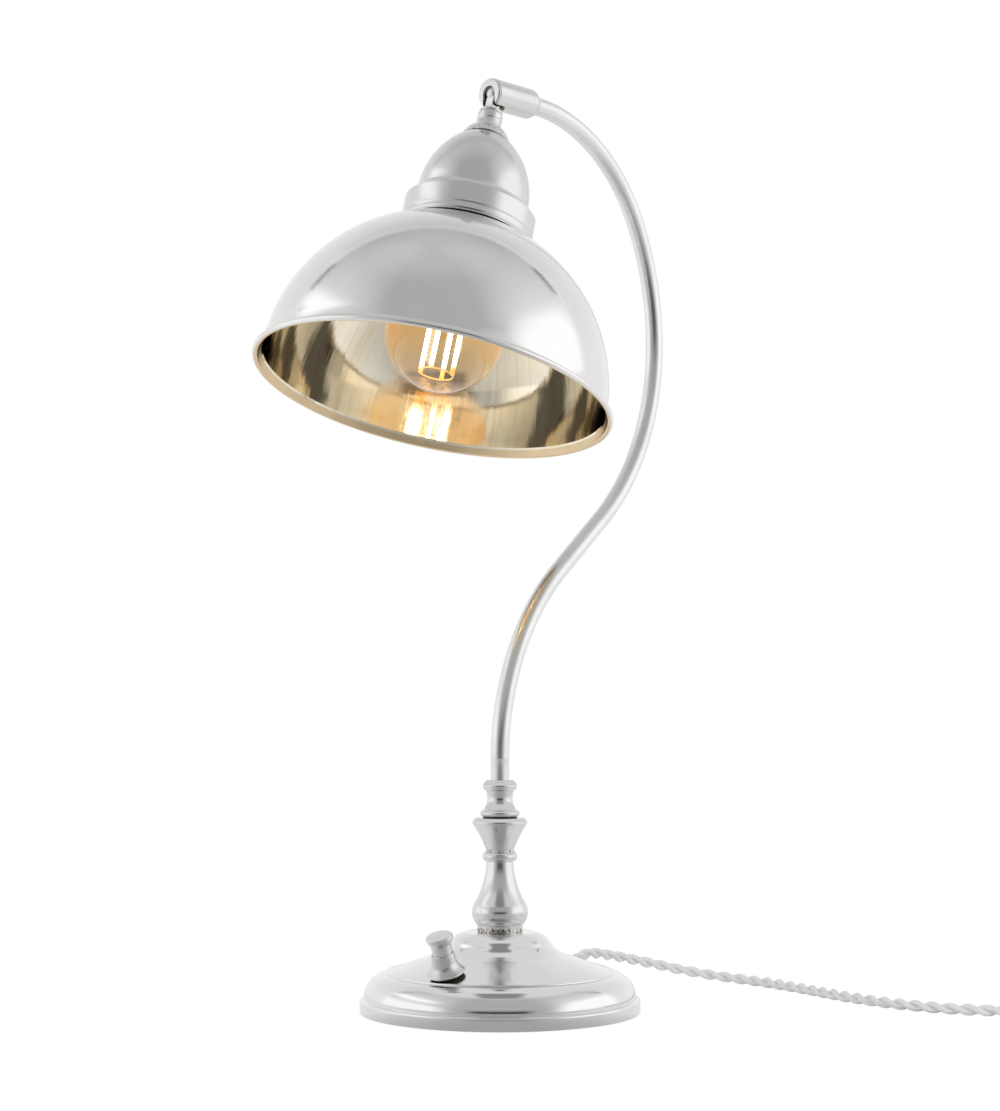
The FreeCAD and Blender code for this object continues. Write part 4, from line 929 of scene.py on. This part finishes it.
# ---------------------------------------------------------------------------
# Shade: a spun brass dome with a flared lip and a wired bead, nickel plated
# outside and left as polished brass inside with painted reflection streaks,
# duller where it bends at the bead, with painted shade and a painted highlight there.
bright_brass, brass_shader, nodes = new_material("bright_brass", {"Metallic": 1.0})
turning = nodes.add("ShaderNodeTexCoord", output="UV")
turning_parts = nodes.add("ShaderNodeSeparateXYZ", sockets={"Vector": turning})
bearing = turning_parts.output("X") * math.tau


def round_the_dome(climb_share):
    """Coordinates that close round the dome, in which streaks run from its neck to its lip."""
    return nodes.add("ShaderNodeCombineXYZ", sockets={
        "X": bearing.cosine(), "Y": bearing.sine(), "Z": turning_parts.output("Y") * climb_share})


streaks = nodes.add("ShaderNodeTexNoise", sockets={
    "Vector": round_the_dome(0.25), "Scale": 7.0, "Detail": 4.0, "Roughness": 0.5, "Distortion": 0.3})
fine_lines_and_reflection = nodes.noise(round_the_dome(0.03), 34.0, 3.0)
# Painted reflection: light and dark streaks and fine dark lines in the brass's colour stand in for the
# studio mirrored inside the dome; the streaks also vary its roughness and bump.
brass_with_painted_reflections = nodes.blend(streaks.rising(0.35, 0.65), (0.85, 0.745, 0.565, 1.0), (0.91, 0.845, 0.705, 1.0))
feed(nodes, brass_shader, "Base Color",
     nodes.blend(fine_lines_and_reflection.rising(0.54, 0.72) * 0.20, brass_with_painted_reflections, (0.42, 0.34, 0.20, 1.0)))
feed(nodes, brass_shader, "Roughness", 0.02 + streaks * 0.05)
rings = nodes.add("ShaderNodeMapping", sockets={"Vector": turning, "Scale": (3.0, 260.0, 1.0)})
ripple = nodes.noise(rings, 5.0, 4.0)
feed(nodes, brass_shader, "Normal", nodes.bump(0.25, 0.0006, streaks + fine_lines_and_reflection * 0.06 + ripple * 0.02))

shade = lathe("dome_shade", [
    (20.0, -82.6),
    (20.0, -83.5),
    (23.89, -83.5),
    (91.6, -171.93, -91.6),
    (92.22, -172.98),
    (92.95, -174.25),
    (93.68, -175.5),
    (96.8, -175.0, 1.6),
    (94.07, -173.87, 1.6),
    (92.5, -171.53, -5.0),
    (24.0, -82.6, 92.5),
], spun_plate, head_place, slices=256, fillet=0.15)
shade.data.materials.append(bright_brass)
# Painted shade and highlight at the lip: a darker tan on the bead's underside and on a band of the flare
# just inside the lip, and a pale cream band below that band, a painted highlight line. Both are also a
# little rougher than the rest of the inside.
shade.data.materials.append(plain_metal("bead_painted_shade", (0.84, 0.66, 0.42), 0.24))
shade.data.materials.append(plain_metal("lip_painted_highlight", (0.97, 0.88, 0.72), 0.2))
into_head = head_place.inverted()
bead_line = -174.6
lip_line = -174.2
flare_line = -172.9
for face in shade.data.polygons:
    middle = into_head @ face.center * 1000
    outward = into_head.to_3x3() @ face.normal
    from_axis = Vector((middle.x, middle.y, 0.0)).normalized()
    inside = outward.dot(from_axis) < -0.02
    shaded_under_bead = middle.z < bead_line and outward.z < 0.0 and outward.dot(from_axis) < 0.3
    if shaded_under_bead or inside and lip_line < middle.z < flare_line:
        face.material_index = 2
    elif inside and middle.z < lip_line:
        face.material_index = 3
    elif inside:
        face.material_index = 1
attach(shade, "head")
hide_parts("shade")

# ---------------------------------------------------------------------------
# Bulb: an amber glass globe on a brass screw cap, with a glass mount and four
# glowing filament sticks, whose cooler lower ends share one wire hoop. The glass
# has a painted glow: deeper amber and a faint orange light in a band round the
# filaments, and a painted highlight of pale light at its edges.
amber, amber_shader, nodes = new_material("amber_glass", {
    "Emission Strength": 1.0, "Transmission Weight": 1.0, "IOR": 1.46, "Roughness": 0.0})
edge_on = nodes.add("ShaderNodeLayerWeight", sockets={"Blend": 0.35}, output="Facing")
lit_height = nodes.height()
# Painted glow: from the filaments' height upwards the glass is a deeper amber, and in a band round them it
# gives off a faint orange light.
glow_tinted_amber = nodes.blend(edge_on.rising(0.05, 0.8), (1.0, 0.88, 0.66, 1.0), (0.98, 0.64, 0.28, 1.0))
thin = nodes.blend(edge_on.rising(0.05, 0.8), (1.0, 0.96, 0.87, 1.0), (0.98, 0.80, 0.55, 1.0))
feed(nodes, amber_shader, "Base Color", nodes.blend(lit_height.rising(0.333, 0.362), thin, glow_tinted_amber))
lit = lit_height.rising(0.336, 0.360) * (1.0 - lit_height.rising(0.385, 0.405))
# Painted highlight: the glass gives off pale light where it is seen edge-on.
painted_rim_glow = edge_on.rising(0.72, 0.97) * 0.6
painted_glass_glow = nodes.blend(lit, (0.004, 0.002, 0.0, 1.0), (0.046, 0.020, 0.003, 1.0))
feed(nodes, amber_shader, "Emission Color",
     nodes.blend(painted_rim_glow, painted_glass_glow, (0.52, 0.40, 0.24, 1.0)))
globe = lathe("globe", [
    (11.8, -81.0),
    (11.8, -91.4),
    (12.7, -92.9),
    (26.2, -126.8, 113.3),
    (0.0, -173.5, -30.7),
    (0.0, -174.3),
    (27.0, -126.58, 31.5),
    (13.5, -92.5, -112.5),
    (12.6, -91.2),
    (12.6, -81.0),
], amber, head_place, slices=128, fillet=0.2)
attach(globe, "head")
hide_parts("bulb_glass")

clear = new_material("clear_glass", {
    "Base Color": (1.0, 0.97, 0.9, 1.0), "Transmission Weight": 1.0, "IOR": 1.5, "Roughness": 0.02})[0]
mount = lathe("glass_mount", [
    (0.0, -85.0),
    (0.0, -123.0),
    (2.2, -122.0),
    (2.6, -115.0),
    (5.0, -101.0),
    (7.5, -90.0),
    (10.8, -85.0),
], clear, head_place, slices=48)
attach(mount, "head")
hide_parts("bulb_mount")
dress(brass, "bulb_cap")

glowing, glowing_shader, nodes = new_material("glowing_filament", {
    "Base Color": (1.0, 0.8, 0.45, 1.0), "Emission Strength": 7.0})
feed(nodes, glowing_shader, "Emission Color",
     nodes.blend(nodes.height().rising(0.3405, 0.348), (0.16, 0.058, 0.008, 1.0), (1.0, 0.93, 0.82, 1.0)))
seeds = bpy.data.meshes.new("filament_seeds")
seeds.from_pydata([(0.0, 0.0, 0.0)], [], [])
seed_object = linked("filament_seeds", seeds)
sticks = new_tree("filament_sticks", [
    ("Count", "Int"), ("Ring", "Float"), ("Radius", "Float"), ("Length", "Float"), ("Wire", "Float"),
    ("Material", "Material")])
given = sticks.add("NodeGroupInput", output="Geometry")
ring_points = sticks.add("GeometryNodeMeshCircle", sockets={
    "Vertices": given.output("Count"), "Radius": given.output("Ring")})
stick = sticks.add("GeometryNodeMeshCylinder", sockets={
    "Vertices": 20, "Radius": given.output("Radius"), "Depth": given.output("Length")})
placed = sticks.add("GeometryNodeInstanceOnPoints", sockets={"Points": ring_points, "Instance": stick})
hoop = sticks.add("GeometryNodeCurvePrimitiveCircle",
                  sockets={"Resolution": 32, "Radius": given.output("Ring")})
wire = sticks.add("GeometryNodeCurvePrimitiveCircle",
                  sockets={"Resolution": 8, "Radius": given.output("Wire")})
hoop = sticks.add("GeometryNodeCurveToMesh", sockets={"Curve": hoop, "Profile Curve": wire})
hoop = sticks.add("GeometryNodeTransform", sockets={
    "Geometry": hoop,
    "Translation": sticks.add("ShaderNodeCombineXYZ", sockets={"Z": given.output("Length") * -0.5})})
both = sticks.add("GeometryNodeJoinGeometry", sockets={"Geometry": placed})
sticks.tree.links.new(hoop.socket, both.socket.node.inputs["Geometry"])
placed = sticks.add("GeometryNodeRealizeInstances", sockets={"Geometry": both})
placed = sticks.add("GeometryNodeSetShadeSmooth", sockets={"Geometry": placed})
placed = sticks.add("GeometryNodeSetMaterial",
                    sockets={"Geometry": placed, "Material": given.output("Material")})
sticks.add("NodeGroupOutput", sockets={"Geometry": placed})
filaments = grown("filament_sticks", seed_object, sticks, {
    "Count": 4, "Ring": 0.009, "Radius": 0.0012, "Length": 0.038, "Wire": 0.0004, "Material": glowing})
filament_drop = -0.146
filament_turn = math.radians(25.5)
filaments.data.transform(
    head_place @ Matrix.Translation((0.0, 0.0, filament_drop)) @ Matrix.Rotation(filament_turn, 4, "Z"))
filaments.data.set_sharp_from_angle(angle=blunt_crease)
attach(filaments, "head")
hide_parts("bulb_filaments")

# ---------------------------------------------------------------------------
# Plug: pale moulded grip with rounded edges and grip ribs, a ringed relief
# where the cord goes in, and two plain brass pins.
plug_moulding = plain_metal("plug_moulding", (0.80, 0.80, 0.79), 0.4, 0.0)
plug_place = Matrix.Translation(cord_route[-1]) @ Matrix.Rotation(math.radians(80.0), 4, "Z")
relief_outline = [(0.0, 0.05), (4.2, 0.05)]
for number in range(3):
    wide = 4.5 + 0.5 * number
    reach = 3.0 + 5.0 * number
    groove = wide - 0.6
    relief_outline += [(wide, reach), (groove, reach + 0.4),
                       (groove, reach + 1.6), (wide + 0.3, reach + 2.0)]
relief_outline += [(6.0, 21.0), (0.0, 21.0)]
relief_place = plug_place @ Matrix.Rotation(math.radians(90.0), 4, "Y")
plug = lathe("plug", relief_outline, plug_moulding, relief_place, slices=48, fillet=0.2)
grip_thickness = 14.0
grip_bevel = 1.8
rib_places = (33.0, 37.0, 41.0)
rib_size = (1.6, 15.0, 1.16)
rib_sink = 0.6
grip_outline = traced([
    (20.0, -7.0),
    (29.0, -12.0, 14.0),
    (50.0, -12.0),
    (52.0, -10.0, 2.0),
    (52.0, 10.0),
    (50.0, 12.0, 2.0),
    (29.0, 12.0),
    (20.0, 7.0, 14.0),
])
grip_shape = bmesh.new()
grip_face = grip_shape.faces.new([
    grip_shape.verts.new((point.x, point.y, -grip_thickness / 2)) for point in grip_outline])
risen = bmesh.ops.extrude_face_region(grip_shape, geom=[grip_face])["geom"]
bmesh.ops.translate(grip_shape, vec=(0.0, 0.0, grip_thickness),
                    verts=[part for part in risen if isinstance(part, bmesh.types.BMVert)])
rims = [edge for edge in grip_shape.edges if abs(edge.verts[0].co.z - edge.verts[1].co.z) < 0.001]
rounded(grip_shape, rims, grip_bevel, 5)
for side in (-1.0, 1.0):
    for reach in rib_places:
        rib_place = Matrix.Translation((reach, 0.0, side * (grip_thickness / 2 - rib_sink)))
        rib = bmesh.ops.create_cube(grip_shape, size=1.0,
                                    matrix=rib_place @ Matrix.Diagonal((*rib_size, 1.0)))
        rib_edges = {edge for vertex in rib["verts"] for edge in vertex.link_edges}
        rounded(grip_shape, rib_edges, 0.3, 2)
bmesh.ops.recalc_face_normals(grip_shape, faces=grip_shape.faces)
grip_shape.transform(plug_place @ millimetres)
for face in grip_shape.faces:
    face.smooth = True
grip_shape.from_mesh(plug.data)
grip_shape.to_mesh(plug.data)
grip_shape.free()
plug.data.set_sharp_from_angle(angle=math.radians(35))
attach(plug, "base")
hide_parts("plug_body")
dress(brass, "plug_pins")

# ---------------------------------------------------------------------------
# Studio: a pale table in white surroundings. Polished metal mirrors a white
# backdrop behind the lamp with the dark stands at its edge, a soft box at each
# side, a grey room with a black flag in front, and a grey card under the shade.
away = (-math.sin(camera_bearing), math.cos(camera_bearing))
aside = (away[1], -away[0])
white = (1.0, 1.0, 1.0, 1.0)


def directions(maker, source):
    """How far a position or a direction lies to the right, away from the camera and up."""
    parts = maker.add("ShaderNodeSeparateXYZ", sockets={"Vector": source}, output="X")
    x, y, z = parts, parts.output("Y"), parts.output("Z")
    return x * aside[0] + y * aside[1], x * away[0] + y * away[1], z


table_top, table_shader, nodes = new_material("pale_table", {
    "Base Color": (0.93, 0.93, 0.93, 1.0), "Roughness": 0.9})
rays = nodes.add("ShaderNodeLightPath", output="Is Camera Ray")
mirrored = rays.output("Is Glossy Ray")
# Seen directly the table is plain white. Seen in mirrors it is painted darker towards the camera and
# nearly black under the flag in front: a painted reflection of the room and flag.
right, back, up = directions(nodes, nodes.place())
nearer = back * -1.0
beside = right.absolute()
in_flag = nearer.rising(1.0, 1.3) * (1.0 - (beside / nearer).rising(0.36, 0.52))
facing = nearer / (right * right + back * back + 0.0001).root()
mirrored_table_shade = 0.88 - facing.rising(0.15, 0.95) * 0.48 + beside.rising(0.3, 0.9) * 0.14
mirrored_table_shade = mirrored_table_shade * (1.0 - in_flag * 0.94)
table_glow = 1.06
glow = nodes.add("ShaderNodeEmission", sockets={
    "Color": white, "Strength": table_glow + mirrored * (mirrored_table_shade - table_glow)})
seen = (rays + mirrored + rays.output("Is Transmission Ray")).held() * 0.88
matt = Wire(nodes, table_shader.outputs[0])
mixed = nodes.add("ShaderNodeMixShader", sockets={0: seen, 1: matt, 2: glow})
nodes.tree.links.new(mixed.socket, nodes.tree.nodes["Material Output"].inputs["Surface"])
table_mesh = bpy.data.meshes.new("table_top")
table_half = 6.0
table_mesh.from_pydata([(-table_half, -table_half, 0.0), (table_half, -table_half, 0.0),
                        (table_half, table_half, 0.0), (-table_half, table_half, 0.0)], [], [(0, 1, 2, 3)])
table_mesh.materials.append(table_top)
table_object = linked("table_top", table_mesh)

# The card is seen only in mirrors. The foot and column mirror it, light grey, in place of the lit inside
# of the shade above them. Its darker patch on the camera's side is a painted reflection of the shade.
card_paint = bpy.data.materials.new("grey_card")
card_paint.use_nodes = True
nodes = Maker(card_paint.node_tree)
right, back, up = directions(nodes, nodes.place())
beside = right.absolute()
painted_shade_reflection = (back * -1.0).rising(0.038, 0.046) * (1.0 - beside.rising(0.030, 0.038))
card_glow = nodes.add("ShaderNodeEmission", sockets={
    "Color": white, "Strength": 0.80 - painted_shade_reflection * 0.52})
card_clear = nodes.add("ShaderNodeBsdfTransparent")
card_back = nodes.add("ShaderNodeNewGeometry", output="Backfacing")
card_mix = nodes.add("ShaderNodeMixShader", sockets={0: card_back, 1: card_glow, 2: card_clear})
nodes.tree.links.new(card_mix.socket, nodes.tree.nodes["Material Output"].inputs["Surface"])
card_height = 0.135
card_sides = 48
card_shape = bmesh.new()
inner_ring, outer_ring = [
    [card_shape.verts.new((radius * math.cos(math.tau * k / card_sides),
                           -radius * math.sin(math.tau * k / card_sides), card_height))
     for k in range(card_sides)] for radius in (0.0065, 0.105)]
for k in range(card_sides):
    n = (k + 1) % card_sides
    card_shape.faces.new((inner_ring[k], outer_ring[k], outer_ring[n], inner_ring[n]))
card = built("grey_card", card_shape)
card.data.materials.append(card_paint)
card.visible_camera = card.visible_diffuse = card.visible_transmission = card.visible_shadow = False

world = bpy.data.worlds.new("studio")
world.use_nodes = True
scene.world = world
nodes = Maker(world.node_tree)
rays = nodes.add("ShaderNodeLightPath", output="Is Camera Ray")
right, back, up = directions(nodes, nodes.add("ShaderNodeTexCoord", output="Generated"))
beside = right.absolute()
level = up.absolute()
turned = beside / (1.001 - up * up).root()
ahead = (back * -4.0).held()
room = 0.49 + up.rising(0.87, 0.98) * 0.11
room = room + turned.rising(0.6, 1.0) * (1.0 - up.rising(0.6, 1.05)) * 0.42
flag = (1.0 - turned.rising(0.36, 0.50)) * (1.0 - level.rising(0.12, 0.26)) * ahead
room = room * (1.0 - flag * 0.92)
right_box = right.rising(0.70, 0.86) * (1.0 - up.rising(0.52, 0.62))
left_box = (right * -1.0).rising(0.66, 0.78) * up.rising(0.50, 0.54) * (1.0 - up.rising(0.62, 0.70))
left_wall = (right * -1.0).rising(0.70, 0.86) * (1.0 - up.rising(0.30, 0.40))
room = room + (1.22 - room) * right_box
room = room + (1.25 - room) * left_box
room = room + (1.16 - room) * left_wall
backdrop = back.rising(0.395, 0.405)
cloth = 0.95 - up.rising(0.2, 0.7) * 0.14 - up.rising(0.7, 0.92) * 0.2
room = room + (cloth - room) * backdrop
room = room + backdrop * (1.0 - back.rising(0.43, 0.47)) * 0.12
stand_beside, stand_back, stand_up = 0.635, 0.385, 0.670
edge_gap = back - stand_back
stand = (1.4 - edge_gap.absolute() * 44.0).held()
nearness = beside * stand_beside + back * stand_back + up * stand_up
stand = stand * nearness.rising(0.9935, 0.9965)
room = room * (1.0 - stand * 0.85)
clean = (rays + rays.output("Is Transmission Ray")).held()
mirrored = rays.output("Is Glossy Ray") * (1.0 - clean)
world_shader = world.node_tree.nodes["Background"]
world_shader.inputs["Color"].default_value = white
ambient = 0.72
strength = ambient + clean * (1.0 - ambient) + mirrored * (room - ambient)
nodes.tree.links.new(strength.socket, world_shader.inputs["Strength"])


def soft_lamp(name, place, target, width, height, power):
    data = bpy.data.lights.new(name, "AREA")
    data.shape = "RECTANGLE"
    data.size = width
    data.size_y = height
    data.energy = power
    lamp = linked(name, data)
    lamp.location = place
    lamp.rotation_euler = (Vector(target) - Vector(place)).to_track_quat("-Z", "Y").to_euler()
    lamp.visible_glossy = False


soft_lamp("key", (-0.6, -1.6, 1.5), (0.0, 0.0, 0.25), 0.9, 0.9, 9.0)
soft_lamp("fill", (1.6, 0.2, 0.9), (0.0, 0.0, 0.25), 0.8, 1.2, 5.0)

scene.view_settings.view_transform = "Standard"
